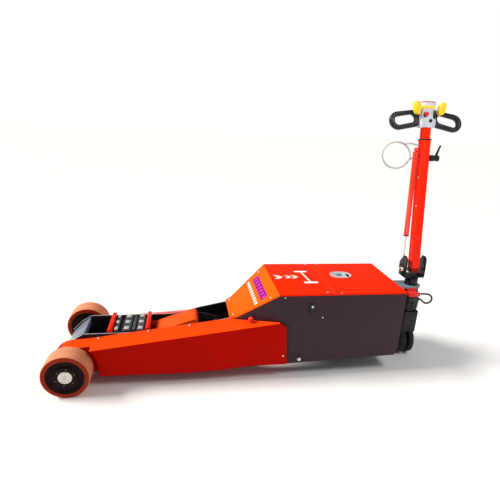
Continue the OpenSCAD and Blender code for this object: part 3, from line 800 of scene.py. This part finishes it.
def absorb(into: bmesh.types.BMesh, part: bmesh.types.BMesh) -> None:
    """Adds one bmesh to another and frees it.

    Args:
        into: the shape that grows.
        part: the shape that is added and freed.
    """
    mesh = bpy.data.meshes.new("part")
    part.to_mesh(mesh)
    part.free()
    into.from_mesh(mesh)
    bpy.data.meshes.remove(mesh)


def join(parts: Iterable[bmesh.types.BMesh]) -> bmesh.types.BMesh:
    """Puts several shapes in one.

    Args:
        parts: the shapes, which this frees.

    Returns:
        One shape that holds them all.
    """
    whole = bmesh.new()
    for part in parts:
        absorb(whole, part)
    return whole


def block(matrix: Matrix, size_mm: Sequence[float], width_mm: float, segments: int = 2) -> bmesh.types.BMesh:
    """Builds a box with all its edges rounded.

    Args:
        matrix: where its middle goes.
        size_mm: its three sizes.
        width_mm: the width of the rounding.
        segments: how many faces the rounding takes.

    Returns:
        The closed shape.
    """
    bm = bmesh.new()
    bmesh.ops.create_cube(bm, size=1.0)
    bmesh.ops.scale(bm, vec=Vector(size_mm) / 1000, verts=bm.verts)
    bevel_sharp(bm, width_mm / 1000, segments)
    bmesh.ops.transform(bm, matrix=matrix, verts=bm.verts)
    return bm


def rounded(r: float, z0: float, z1: float, edge: float, steps: int = 4) -> list[tuple[float, float]]:
    """Draws a disc's profile from the axis round a soft upper edge, in millimetres.

    Args:
        r: the disc's radius.
        z0: the height of its underside.
        z1: the height of its top.
        edge: the radius of its upper edge.
        steps: how many lines the edge takes.

    Returns:
        Points as radius and height.
    """
    corner = [
        (r - edge + edge * math.cos(a), z1 - edge + edge * math.sin(a))
        for a in (i * math.pi / 2 / steps for i in range(steps + 1))
    ]
    return [(0, z0), (r, z0), *corner, (0, z1)]


def hex_head(matrix: Matrix, across: float, height: float, washer: float) -> bmesh.types.BMesh:
    """Builds a washer with a chamfered hexagon head on it, sizes in millimetres.

    Args:
        matrix: where its seat goes, with +Z outwards.
        across: the size across the flats.
        height: how far the head stands out.
        washer: the washer's radius.

    Returns:
        The closed shapes.
    """
    thick = height * 0.24
    disc = [(0, 0), (washer, 0), (washer, thick * 0.75), (washer - 0.5, thick), (0, thick)]
    bm = lathe(disc, Matrix(), 24)
    head = bmesh.new()
    corner = across / 1732
    bmesh.ops.create_cone(
        head, cap_ends=True, segments=6, radius1=corner, radius2=corner, depth=height * 0.76 / 1000
    )
    bmesh.ops.translate(head, vec=(0, 0, height * 0.62 / 1000), verts=head.verts)
    bevel_sharp(head, height * 0.0001, 1, 40)
    absorb(bm, head)
    bmesh.ops.transform(bm, matrix=matrix, verts=bm.verts)
    return bm


def dome_head(matrix: Matrix, r: float, height: float) -> bmesh.types.BMesh:
    """Builds a button-head screw with a socket in it, sizes in millimetres.

    Args:
        matrix: where its seat goes, with +Z outwards.
        r: the head's radius.
        height: how far it stands out.

    Returns:
        The closed shape.
    """
    arc = [
        (r * math.cos(a), height * (0.25 + 0.75 * math.sin(a))) for a in (i * math.pi / 10 for i in range(4))
    ]
    socket = [(r * 0.4, height), (r * 0.34, height * 0.5), (0, height * 0.5)]
    return lathe([(0, 0), (r, 0), *arc, *socket], matrix, 20)


# ---------------------------------------------------------------- camera and cords


@dataclass(frozen=True)
class Studio:
    """Camera, floor and lights."""

    spot: tuple[float, float, float] = (-0.41042, -1.90387, 1.24064)
    yaw: float = 9.8975
    pitch: float = 18.1615
    roll: float = 3.0890
    lens: float = 29.355
    ambient: float = 0.30
    sky: RGB = (0.93, 0.95, 1.0)
    sun: float = 4.8
    sun_from: tuple[float, float, float] = (-0.80, 0.12, 0.62)
    sun_spread: float = 24.0
    sun_tint: RGB = (1.0, 0.96, 0.90)
    fill: float = 34.0
    fill_spot: tuple[float, float, float] = (1.3, -1.5, 2.8)
    fill_aim: tuple[float, float, float] = (0.75, 0.0, 0.8)
    fill_size: float = 0.9
    fill_tint: RGB = (1.0, 0.97, 0.92)

    def camera(self) -> None:
        """Places the camera at the angle that shows the machine from its front left."""
        yaw, pitch, roll = (math.radians(a) for a in (self.yaw, self.pitch, self.roll))
        ahead = Vector((math.sin(yaw), math.cos(yaw), 0))
        side = Vector((math.cos(yaw), -math.sin(yaw), 0))
        up = Vector((0, 0, 1))
        look = ahead * math.cos(pitch) - up * math.sin(pitch)
        rise = up * math.cos(pitch) + ahead * math.sin(pitch)
        right = side * math.cos(roll) + rise * math.sin(roll)
        top = rise * math.cos(roll) - side * math.sin(roll)
        turn = Matrix((right, top, -look)).transposed().to_4x4()
        data = bpy.data.cameras.new("camera")
        data.lens = self.lens
        data.sensor_width = 36.0
        data.sensor_fit = "HORIZONTAL"
        data.clip_start = 0.02
        eye = bpy.data.objects.new("camera", data)
        eye.matrix_world = Matrix.Translation(Vector(self.spot)) @ turn
        bpy.context.scene.collection.objects.link(eye)
        bpy.context.scene.camera = eye

    def lamp(self, name: str, kind: str, spot: Vector, back: Vector, power: float) -> bpy.types.Light:
        """Adds a light.

        Args:
            name: the light's name.
            kind: AREA or SUN.
            spot: where it stands.
            back: the direction from what it lights to the light.
            power: its energy.

        Returns:
            The light's own settings.
        """
        data = bpy.data.lights.new(name, kind)
        data.energy = power
        lamp = bpy.data.objects.new(name, data)
        lamp.matrix_world = facing(spot, back)
        bpy.context.scene.collection.objects.link(lamp)
        return data

    def light(self) -> None:
        """Sets the pale surroundings, the main light from the front end and a soft fill."""
        scene = bpy.context.scene
        scene.view_settings.view_transform = "Standard"
        scene.view_settings.look = "None"
        world = bpy.data.worlds.new("surroundings")
        scene.world = world
        world.use_nodes = True
        around = Nodes(world.node_tree)
        seen = around.node("ShaderNodeBackground", values={"Color": (1, 1, 1, 1)})
        lit = around.node("ShaderNodeBackground", values={"Color": (*self.sky, 1), "Strength": self.ambient})
        path = around.node("ShaderNodeLightPath")
        both = around.node(
            "ShaderNodeMixShader",
            values={0: path.outputs["Is Camera Ray"], 1: lit.outputs[0], 2: seen.outputs[0]},
        )
        around.node("ShaderNodeOutputWorld", values={0: both.outputs[0]})
        spot = Vector(self.fill_spot)
        soft = self.lamp("top_light", "AREA", spot, spot - Vector(self.fill_aim), self.fill)
        soft.size = self.fill_size
        soft.color = self.fill_tint
        key = self.lamp("key_light", "SUN", Vector((-3, 0, 2)), Vector(self.sun_from), self.sun)
        key.angle = math.radians(self.sun_spread)
        key.color = self.sun_tint

    def floor(self) -> None:
        """Lays the pale floor."""
        bm = bmesh.new()
        bmesh.ops.create_grid(bm, x_segments=1, y_segments=1, size=30.0)
        mesh = bpy.data.meshes.new("floor")
        bm.to_mesh(mesh)
        bm.free()
        ground = bpy.data.objects.new("floor", mesh)
        bpy.context.scene.collection.objects.link(ground)
        g = Graph("floor_card")
        cloud = g.noise(1.5).step(0.3, 0.7)
        g.feed("Base Color", g.mix(cloud, (0.86, 0.86, 0.86), (0.88, 0.88, 0.88)))
        g.feed("Roughness", 0.9)
        mesh.materials.append(g.material)


@dataclass(frozen=True)
class Lead:
    """One flexible lead, its diameter in millimetres."""

    name: str
    node: str
    body: str
    finish: Finish
    diameter: float
    lay: str

    def build(self, route: Sequence[Vector]) -> None:
        """Args:
            route: the points that it follows, in metres.
        """
        data = bpy.data.curves.new(self.name, "CURVE")
        data.dimensions = "3D"
        data.bevel_depth = self.diameter / 2000
        data.bevel_resolution = 4
        data.use_fill_caps = True
        data.resolution_u = 5
        spline = data.splines.new("BEZIER")
        spline.bezier_points.add(len(route) - 1)
        for point, place in zip(spline.bezier_points, route):
            point.co = place
            point.handle_left_type = point.handle_right_type = "AUTO"
        data.materials.append(self.finish.material())
        cord = bpy.data.objects.new(self.name, data)
        bpy.context.scene.collection.objects.link(cord)
        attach(cord, self.body)
        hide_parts(self.node)
        length = sum((b - a).length for a, b in zip(route, route[1:]))
        log.info("%s: %.3f m", self.name, length)


@dataclass
class Leads:
    """The two flexible leads, along the routes that the CAD cords have."""

    control: Lead = Lead("control_lead_coil", "control_lead", "tiller", Finish.LEAD, 7.0, "coiled")
    power: Lead = Lead("power_lead_loop", "power_lead", "chassis", Finish.CABLE, 10.0, "loose")
    middle: tuple[float, float, float] = (-141.0, 16.0, 600.0)
    turn_r: float = 77.0
    flat: float = 0.86
    # The coil starts at this angle, in degrees, and takes this many steps of so many degrees
    start: float = 62.0
    points: int = 35
    step: float = 18.0

    def control_route(self) -> list[Vector]:
        """Leads the control lead out of the tube, round the coil and back.

        Returns:
            The points in metres.
        """
        first = [(-25.5, 4, 655), (-44, 4.5, 655.5), (-64, 7, 660)]
        last = [(-73, 26.5, 570), (-58, 25.5, 583), (-45, 22.5, 590.5), (-32, 15, 595), (-25.5, 10, 596)]
        cx, cy, cz = self.middle
        coil = []
        for i in range(self.points):
            a = math.radians(self.start + i * self.step)
            wide = self.turn_r * math.cos(a) * (1 + 0.03 * math.sin(a / 2))
            coil.append((cx + wide, cy + i * 0.42 - 4, cz + self.turn_r * self.flat * math.sin(a)))
        return [on_tiller(*p) for p in first + coil + last]

    def power_route(self) -> list[Vector]:
        """Loops the power lead from the upper connector to the lower one.

        Returns:
            The points in metres.
        """
        points = [
            (1768.5, -65.5, 378), (1782, -66.3, 379.5), (1799, -70, 380.5), (1816.7, -73, 378.6),
            (1829.4, -75.5, 372.9), (1837.4, -77, 361.9), (1838.6, -78, 348.5), (1832.7, -77, 336.3),
            (1821.2, -75, 328.6), (1807.3, -72, 327.4), (1794, -69, 336), (1783, -66.5, 346.5),
            (1770.4, -65.5, 350),
        ]
        return [at(*p) for p in points]

    def build(self) -> None:
        """Lays both leads."""
        self.control.build(self.control_route())
        self.power.build(self.power_route())


# ---------------------------------------------------------------- sub-assemblies


@dataclass
class FrontWheel:
    """One free front wheel: tread, hub, screws and cap, in millimetres."""

    side: int
    radius: float = 105.0
    width: float = 95.0
    middle: float = 231.5
    core: float = 81.0
    shoulder: float = 7.0
    screws: int = 6
    screw_ring: float = 41.0

    @property
    def name(self) -> str:
        """Returns the wheel's body."""
        return "wheel_left" if self.side < 0 else "wheel_right"

    def place(self, out: float = 0.0) -> Matrix:
        """Returns the place of something on the axle that faces outwards, so far from the middle."""
        return facing(at(0, self.side * (self.middle + out), AXLE_Z * 1000), (0, self.side, 0))

    def tyre(self) -> None:
        """Spins the tread with rounded shoulders."""
        w, r, s = self.width / 2, self.radius, self.shoulder
        upper = [
            (r - s + s * math.sin(a), w - s + s * math.cos(a)) for a in (i * math.pi / 14 for i in range(8))
        ]
        lower = [(x, -z) for x, z in reversed(upper)]
        inside = [(self.core + 2, -w), (self.core, -w + 1.5)]
        profile = [(self.core, w - 1.5), (self.core + 2, w), *upper, *lower, *inside]
        bm = lathe(profile, self.place(), 128, True)
        finish_piece(self.name + "_tread", bm, Finish.TREAD, self.name, [self.name + "_tyre"], 40)

    def hub(self) -> None:
        """Spins the dished hub with its rim, web and boss."""
        w = self.width / 2
        half = [
            (self.core, w - 3.0), (79.5, w - 2.2), (76, w - 2.2), (74, w - 4.5), (71, w - 9), (57, w - 9.6),
            (54, w - 8.5), (52.5, w - 3.5), (51, w - 2.2), (33.5, w - 2.2), (31.4, w - 4.0),
        ]
        profile = half + [(x, -z) for x, z in reversed(half)]
        bm = lathe(profile, self.place(), 96, True)
        finish_piece(self.name + "_core", bm, Finish.HUB, self.name, [self.name + "_hub"], 30)

    def cap(self) -> None:
        """Adds the turned cap with its dimple, and the ring of screws round it."""
        w = self.width / 2
        profile = [
            (0, -10), (30.6, -10), (30.6, -2.5), (29.4, -1.2), (24, -1.2), (22.8, -2.2), (13, -2.2),
            (12, -1.6), (9, -1.4), (8, -4.2), (3.2, -4.8), (2.6, -3.4), (0, -3.2),
        ]
        turned = lathe(profile, self.place(w), 64)
        finish_piece(self.name + "_cap_turned", turned, Finish.CAP, self.name, [self.name + "_cap"], 30)
        screws = []
        for i in range(self.screws):
            a = math.radians(20) + i * math.tau / self.screws
            ring = self.screw_ring / 1000
            spot = self.place(w - 2.2) @ Matrix.Translation((ring * math.cos(a), ring * math.sin(a), 0))
            screws.append(hex_head(spot, 5.6, 2.0, 3.4))
        finish_piece(self.name + "_screws", join(screws), Finish.SCREW, self.name)

    def build(self) -> None:
        """Builds the wheel."""
        self.tyre()
        self.hub()
        self.cap()
        dress(self.name + "_bearings", Finish.ZINC)


@dataclass
class Chassis:
    """Frame plates, beams, machine box and what is inside it, in millimetres."""

    hood_corners: tuple[tuple[float, float], ...] = ((742, 291), (772, 302), (961, 455), (1608, 455))
    hood_drop: float = 9.0
    box_y: float = 207.0
    lip_y: float = 103.0
    sheet: float = 3.0
    bend: float = 6.0
    # Out of the beam's top, and out of the hood's front lip and its slope
    beam_up: tuple[float, float, float] = (-0.1266, 0.0, 0.992)
    lip_up: tuple[float, float, float] = (-0.345, 0.0, 0.94)
    beam_bolts: tuple[float, ...] = (120, 352, 548)
    # Along, up, out and across its flats; what stands out past the box is on the beam, on the left only
    side_bolts: tuple[tuple[float, ...], ...] = (
        (997, 132, 219, 8), (1084, 103, 207, 17), (1183, 330, 207, 6), (988, 438, 207, 6),
    )
    top_screws: tuple[tuple[float, float], ...] = ((1202, 192), (1269, 200))
    stud: tuple[float, float] = (838, -172)
    shells: dict[str, tuple[Finish, float]] = field(
        default_factory=lambda: {
            "frame_plate_left": (Finish.BLACK, 1.4), "frame_plate_right": (Finish.BLACK, 1.4),
            "front_cross_member": (Finish.GREY, 2.0), "side_beam_left": (Finish.SHADED_BEAM, 1.6),
            "side_beam_right": (Finish.RED, 1.6), "side_panel_left": (Finish.DARK, 0.9),
            "side_panel_right": (Finish.DARK, 0.9), "rear_panel": (Finish.DARK, 0.9),
            "steering_bracket": (Finish.GREY, 1.5), "slew_bearing": (Finish.BLACK, 1.5),
            "power_connectors": (Finish.PLUG, 1.2), "battery": (Finish.BATTERY, 4.0),
            "oil_tank": (Finish.BLACK, 4.0), "motor_controller": (Finish.ZINC, 0.8),
        }
    )
    plain: dict[str, Finish] = field(
        default_factory=lambda: {
            "tray_floor": Finish.BLACK, "front_axle": Finish.ZINC, "arm_pivot_shaft": Finish.ZINC,
            "pump_motor": Finish.HUB,
        }
    )

    def hood(self) -> None:
        """Folds the hood: one bent sheet with its side lips, its bends rounded."""
        bm = bmesh.new()
        under = [(x, z - self.hood_drop) for x, z in reversed(self.hood_corners)]
        wall = bm.faces.new([bm.verts.new(at(x, -self.box_y, z)) for x, z in (*self.hood_corners, *under)])
        grown = bmesh.ops.extrude_face_region(bm, geom=[wall])
        far = [v for v in grown["geom"] if isinstance(v, bmesh.types.BMVert)]
        bmesh.ops.translate(bm, vec=(0, 2 * self.box_y / 1000, 0), verts=far)
        bends = [
            e for e in bm.edges
            if abs(e.verts[0].co.y - e.verts[1].co.y) > 0.3 and 0.2 < e.calc_face_angle(0.0) < 1.0
        ]
        bmesh.ops.bevel(
            bm, geom=bends, offset=self.bend / 1000, offset_type="OFFSET", segments=5, profile=0.5,
            affect="EDGES", clamp_overlap=False, material=-1,
        )
        (front, _), _, (bend, _), _ = self.hood_corners
        run = Vector((bend - front, self.box_y - self.lip_y, 0)).normalized()
        for side in (-1, 1):
            corner = at(front, side * self.lip_y, 0)
            bmesh.ops.bisect_plane(
                bm, geom=bm.verts[:] + bm.edges[:] + bm.faces[:], plane_co=corner,
                plane_no=(-run.y, side * run.x, 0), clear_outer=True,
            )
            bmesh.ops.holes_fill(bm, edges=[e for e in bm.edges if e.is_boundary])
        bmesh.ops.recalc_face_normals(bm, faces=bm.faces)
        under = [f for f in bm.faces if f.normal.z < -0.5]
        bmesh.ops.delete(bm, geom=under, context="FACES")
        bevel_sharp(bm, 0.0014, 2, 55)
        bmesh.ops.solidify(bm, geom=bm.faces, thickness=self.sheet / 1000)
        bmesh.ops.recalc_face_normals(bm, faces=bm.faces)
        finish_piece("hood_sheet", bm, Finish.HOOD, "chassis", ["hood"], 34)

    def cup(self) -> None:
        """Builds the oval grip on the hood: rim, flap with its key barrel, and finger pocket."""
        bm = copy_of("hood_handle_cup")
        bevel_sharp(bm, 0.0006, 2)
        finish_piece("hood_grip", bm, Finish.CUP, "chassis", ["hood_handle_cup"])
        flap = block(Matrix.Translation(at(1340, 30, 456.6)), (32, 36, 1.8), 0.7)
        barrel = lathe(rounded(6.0, 0, 1.4, 0.5), Matrix.Translation(at(1336, 30, 457.4)), 28)
        finish_piece("hood_grip_flap", join([flap, barrel]), Finish.GREY, "chassis")
        pocket = block(Matrix.Translation(at(1385, 18, 456.3)), (16, 44, 1.4), 0.6)
        finish_piece("hood_grip_pocket", pocket, Finish.PLASTIC, "chassis")

    def fasteners(self) -> None:
        """Adds the bolts on the beam and the panels and the screws on the hood."""
        _, (lip_x, lip_z), (bend_x, bend_z), (_, top_z) = self.hood_corners
        run, rise = bend_x - lip_x, bend_z - lip_z
        parts = [
            hex_head(facing(at(x, -111, beam_height(x) + 0.1), self.beam_up), 11, 6.5, 7.5)
            for x in self.beam_bolts
        ]
        for x, z, y, across in self.side_bolts:
            for side in (-1,) if y > self.box_y else (-1, 1):
                spot = facing(at(x, side * y, z), (0, side, 0))
                parts.append(hex_head(spot, across, across * 0.45, across * 0.62))
        for y in (-84, 84):
            parts.append(dome_head(facing(at(761, y, 298.2), self.lip_up), 6, 3.2))
        for y in (-174, 160):
            spot = at(925, y, lip_z + (925 - lip_x) * rise / run + 0.2)
            parts.append(dome_head(facing(spot, (-rise, 0, run)), 5.5, 3.0))
        for x, y in self.top_screws:
            parts += [dome_head(facing(at(x, side * y, top_z), (0, 0, 1)), 6, 2.6) for side in (-1, 1)]
        finish_piece("fasteners", join(parts), Finish.ZINC, "chassis", ["frame_bolts"])

    def guide_stud(self) -> None:
        """Turns the ball-headed stud on the beam."""
        x, y = self.stud
        r, start, steps = 13.5, 0.7, 12
        ball = [
            (r * math.sin(a), 17 - r * math.cos(a))
            for a in (start + i * (math.pi - start) / steps for i in range(steps + 1))
        ]
        foot = facing(at(x, y, beam_height(x) + 0.3), self.beam_up)
        stud = lathe([(0, 0), (9, 0), (9, 2.5), (6.5, 4), (6.5, 6.2), *ball], foot, 40)
        finish_piece("guide_stud", stud, Finish.BUTTON, "chassis")

    def edge_glints(self) -> None:
        """Lays a painted highlight: a bright metal line along the top edges of the frame plates, where the
        sun glints on the dark paint.
        """
        for node in ("frame_plate_left", "frame_plate_right"):
            bm = copy_of(node)
            rest = [f for f in bm.faces if f.normal.z < 0.3 or f.calc_center_median().z < 0.13]
            bmesh.ops.delete(bm, geom=rest, context="FACES")
            bmesh.ops.solidify(bm, geom=bm.faces, thickness=-0.0004)
            bmesh.ops.recalc_face_normals(bm, faces=bm.faces)
            finish_piece(node + "_edge", bm, Finish.EDGE, "chassis")

    def seams(self) -> None:
        """Lays the dark gasket lines between hood and panels, and the grommets of the big bolts."""
        ring = [(9.5, 0), (15, 0), (15, 1.4), (13.8, 2.2), (10.5, 2.2), (9.5, 1.2)]
        _, (x, z, y, _), *_ = self.side_bolts
        parts = []
        for side in (-1, 1):
            parts.append(block(Matrix.Translation(at(1284, side * 205.6, 445.4)), (640, 2.0, 1.2), 0.4, 1))
            parts.append(lathe(ring, facing(at(x, side * y, z), (0, side, 0)), 40, True))
        finish_piece("gaskets", join(parts), Finish.PLASTIC, "chassis")

    def build(self) -> None:
        """Builds the chassis and dresses what stays inside."""
        for node, (finish, width) in self.shells.items():
            soften(node, finish, "chassis", width)
        for node, finish in self.plain.items():
            dress(node, finish)
        self.edge_glints()
        self.hood()
        self.cup()
        self.fasteners()
        self.guide_stud()
        self.seams()


@dataclass
class LiftingGear:
    """Arm, cover, saddle, levelling bars and ram, in millimetres."""

    pad_top: float = 228.6
    pad_rows: tuple[float, ...] = (-62, 0, 62)
    # Along, the rib's top and the pad's width, for each rib
    pads: tuple[tuple[float, float, float], ...] = ((192, 222, 13), (241, 224, 22), (306, 224, 20))
    shells: dict[str, tuple[Finish, str, float]] = field(
        default_factory=lambda: {
            "lift_arm": (Finish.SHADED_CHEEK, "arm", 1.2), "arm_cover": (Finish.ARM, "arm", 3.2),
            "saddle_base": (Finish.BLACK, "saddle", 1.0), "saddle_lips": (Finish.RED, "saddle", 3.0),
            "levelling_link": (Finish.ZINC, "link", 1.0),
        }
    )

    def ribs(self) -> None:
        """Builds the saddle's ribs with their bright pads."""
        bm = copy_of("saddle_ribs")
        bevel_sharp(bm, 0.0008, 2)
        finish_piece("saddle_ribs_plated", bm, Finish.RIB, "saddle", ["saddle_ribs"])
        pads = []
        for x, top, wide in self.pads:
            for y in self.pad_rows:
                middle = Matrix.Translation(at(x, y, (top + self.pad_top) / 2))
                pads.append(block(middle, (wide, 24, self.pad_top - top), 0.8))
        finish_piece("saddle_pads", join(pads), Finish.PAD, "saddle")

    def build(self) -> None:
        """Builds the lifting gear."""
        for node, (finish, body, width) in self.shells.items():
            soften(node, finish, body, width, 3)
        self.ribs()
        dress("ram_barrel", Finish.BLACK)
        dress("ram_rod", Finish.CHROME)


@dataclass
class DriveUnit:
    """Everything that turns with the steering, below the tiller, in millimetres."""

    shells: dict[str, tuple[Finish, float]] = field(
        default_factory=lambda: {
            "king_pin": (Finish.BLACK, 1.2), "clevis_bracket": (Finish.BLACK, 1.8),
            "tiller_bolt": (Finish.ZINC, 0.8), "drive_motor": (Finish.BLACK, 0.8),
            "drive_gearbox": (Finish.HUB, 1.0), "drive_cover": (Finish.PLASTIC, 1.0),
        }
    )
    axle_x: float = 1748.0
    axle_z: float = 82.0

    def tyres(self) -> None:
        """Spins the two solid tyres with a grooved running face."""
        outline = [
            (58, 9), (79.5, 9), (81.4, 10), (82, 11.5), (82, 18), (80.4, 19), (80.4, 21), (82, 22), (82, 30),
            (80.8, 34), (77, 37), (71, 38), (60, 38), (58, 37.4),
        ]
        axle = at(self.axle_x, 0, self.axle_z)
        parts = [lathe(outline, facing(axle, (side, 0, 0)), 96, True) for side in (-1, 1)]
        finish_piece("drive_tyres_grooved", join(parts), Finish.TYRE, "drive_wheel", ["drive_tyres"], 35)

    def build(self) -> None:
        """Builds the drive unit."""
        for node, (finish, width) in self.shells.items():
            soften(node, finish, "steering", width)
        self.tyres()
        dress("drive_hubs", Finish.HUB)


@dataclass
class Tiller:
    """Telescopic tiller with its strut, clamp and control head, in millimetres along the tiller."""

    shells: dict[str, tuple[Finish, str, float, int]] = field(
        default_factory=lambda: {
            "tiller_tube": (Finish.TUBE, "tiller", 0.9, 2),
            "strut_tube": (Finish.STRUT, "strut_barrel", 1.2, 2),
            "head_housing": (Finish.HEAD, "tiller_head", 1.6, 2),
            "handle_loops": (Finish.GRIP, "tiller_head", 11.0, 6),
            "belly_button": (Finish.HEAD_END, "belly", 2.0, 3),
            "butterflies": (Finish.YELLOW, "throttle", 2.4, 3),
            "stop_button": (Finish.BUTTON, "stop", 1.4, 3),
            "lift_rocker": (Finish.PLASTIC, "rocker", 0.8, 2),
        }
    )
    half_w: float = 25.0
    clamp_at: float = 590.0
    collar_at: float = 681.0
    plate_at: float = 772.0
    switch_at: float = 803.0
    stop_x: float = -22.0
    face_y: float = -25.2
    screws_at: tuple[float, ...] = (340, 490)
    # The strut's pin on the tiller, its pin on the steering and how far down from the first its seal is
    strut_top: tuple[float, float, float] = (-43.5, 0, 630)
    strut_foot: tuple[float, float, float] = (1704.5, 38, 514)
    strut_seal: float = 447.0

    def clamp(self) -> None:
        """Builds the clamp: stud, grooved hub and leaning lever."""
        hub = [
            (0, 0.3), (7, 0.3), (7, 9), (15.2, 10), (16, 11.5), (16, 30), (15, 32), (14.2, 34), (14.2, 52),
            (16, 54), (16, 58), (14, 60), (0, 60),
        ]
        stem = [(0, -2), (6, -2), (5.6, 20), (4.6, 48), (5.4, 53), (4.8, 57), (2.5, 58), (0, 58)]
        base = tiller_matrix(self.half_w, 0, self.clamp_at) @ Matrix.Rotation(math.pi / 2, 4, "Y")
        lean = Matrix.Rotation(math.radians(22), 4, "Y")
        lever = tiller_matrix(self.half_w + 46, 0, self.clamp_at + 12) @ lean
        whole = join([lathe(hub, base, 48), lathe(stem, lever, 32)])
        finish_piece("clamp_lever_arm", whole, Finish.PLASTIC, "clamp", ["clamp_lever"])

    def wiper(self) -> None:
        """Adds the collar that wipes the inner tube."""
        collar = block(tiller_matrix(0, 0, self.collar_at), (53, 45, 7), 2.4, 3)
        finish_piece("tube_wiper", collar, Finish.PLASTIC, "tiller")

    def head_trims(self) -> None:
        """Adds the face plate, the key switch and the ring round the stop button."""
        out = (0, -math.cos(LEAN), math.sin(LEAN))
        plate = block(tiller_matrix(0, self.face_y, self.plate_at), (58, 1.6, 36), 0.7)
        finish_piece("head_face_plate", plate, Finish.HEAD, "tiller_head")
        barrel = lathe(rounded(8.2, -2, 3.2, 1.0), facing(on_tiller(7, -27, self.plate_at + 1), out), 36)
        bow = block(tiller_matrix(7, -31.5, self.plate_at + 1), (3, 6, 14), 0.8)
        finish_piece("key_switch", join([barrel, bow]), Finish.PLASTIC, "tiller_head")
        ring = [(8.8, -1), (12.2, -1), (12.2, 0.4), (11, 1.0), (8.8, 1.2)]
        place = facing(on_tiller(self.stop_x, self.face_y, self.switch_at), out)
        finish_piece("switch_gaiter", lathe(ring, place, 40, True), Finish.PLASTIC, "tiller_head")

    def tube_trims(self) -> None:
        """Adds the tube's side screws and the strut's seal."""
        screws = [
            dome_head(facing(on_tiller(-self.half_w, -13, up), (-1, 0, 0)), 3.6, 2.4) for up in self.screws_at
        ]
        finish_piece("tube_screws", join(screws), Finish.CAP, "tiller")
        upper = on_tiller(*self.strut_top)
        down = (at(*self.strut_foot) - upper).normalized()
        ring = [(7.2, 0), (14.3, 0), (14.3, 6), (13, 7.5), (7.2, 7.5)]
        seal = lathe(ring, facing(upper + down * self.strut_seal / 1000, down), 40, True)
        finish_piece("strut_seal", seal, Finish.PLASTIC, "strut_barrel")

    def build(self) -> None:
        """Builds the tiller and its head."""
        for node, (finish, body, width, segments) in self.shells.items():
            soften(node, finish, body, width, segments)
        dress("inner_tube", Finish.RED)
        dress("strut_rod", Finish.CHROME)
        self.clamp()
        self.wiper()
        self.head_trims()
        self.tube_trims()


@dataclass
class Latches:
    """The two turn latches of the side panels, in millimetres."""

    glint_x: float = 1122.0
    glint_z: float = 395.0
    out: float = 221.5

    def build(self) -> None:
        """Builds the latches with softened edges and a bright metal core, a painted highlight on each dark
        latch.
        """
        for name, side in (("left", -1), ("right", 1)):
            soften("latch_" + name, Finish.PLASTIC, name + "_latch", 1.6, 3)
            # Painted highlight: a bright zinc disc where the dark latch catches the light
            place = facing(at(self.glint_x, side * self.out, self.glint_z), (0, side, 0))
            core = lathe(rounded(6.2, -1, 1.4, 0.8), place, 28)
            finish_piece("latch_glint_" + name, core, Finish.ZINC, name + "_latch")


def main() -> None:
    """Builds the whole scene, camera and cords first."""
    logging.basicConfig(level=logging.INFO, format="%(name)s: %(message)s")
    studio = Studio()
    studio.camera()
    Leads().build()
    wheels = [FrontWheel(side) for side in (-1, 1)]
    for assembly in (*wheels, Chassis(), LiftingGear(), DriveUnit(), Tiller(), Latches()):
        assembly.build()
        log.info("%s done", type(assembly).__name__)
    studio.light()
    studio.floor()


if __name__ == "__main__":
    main()
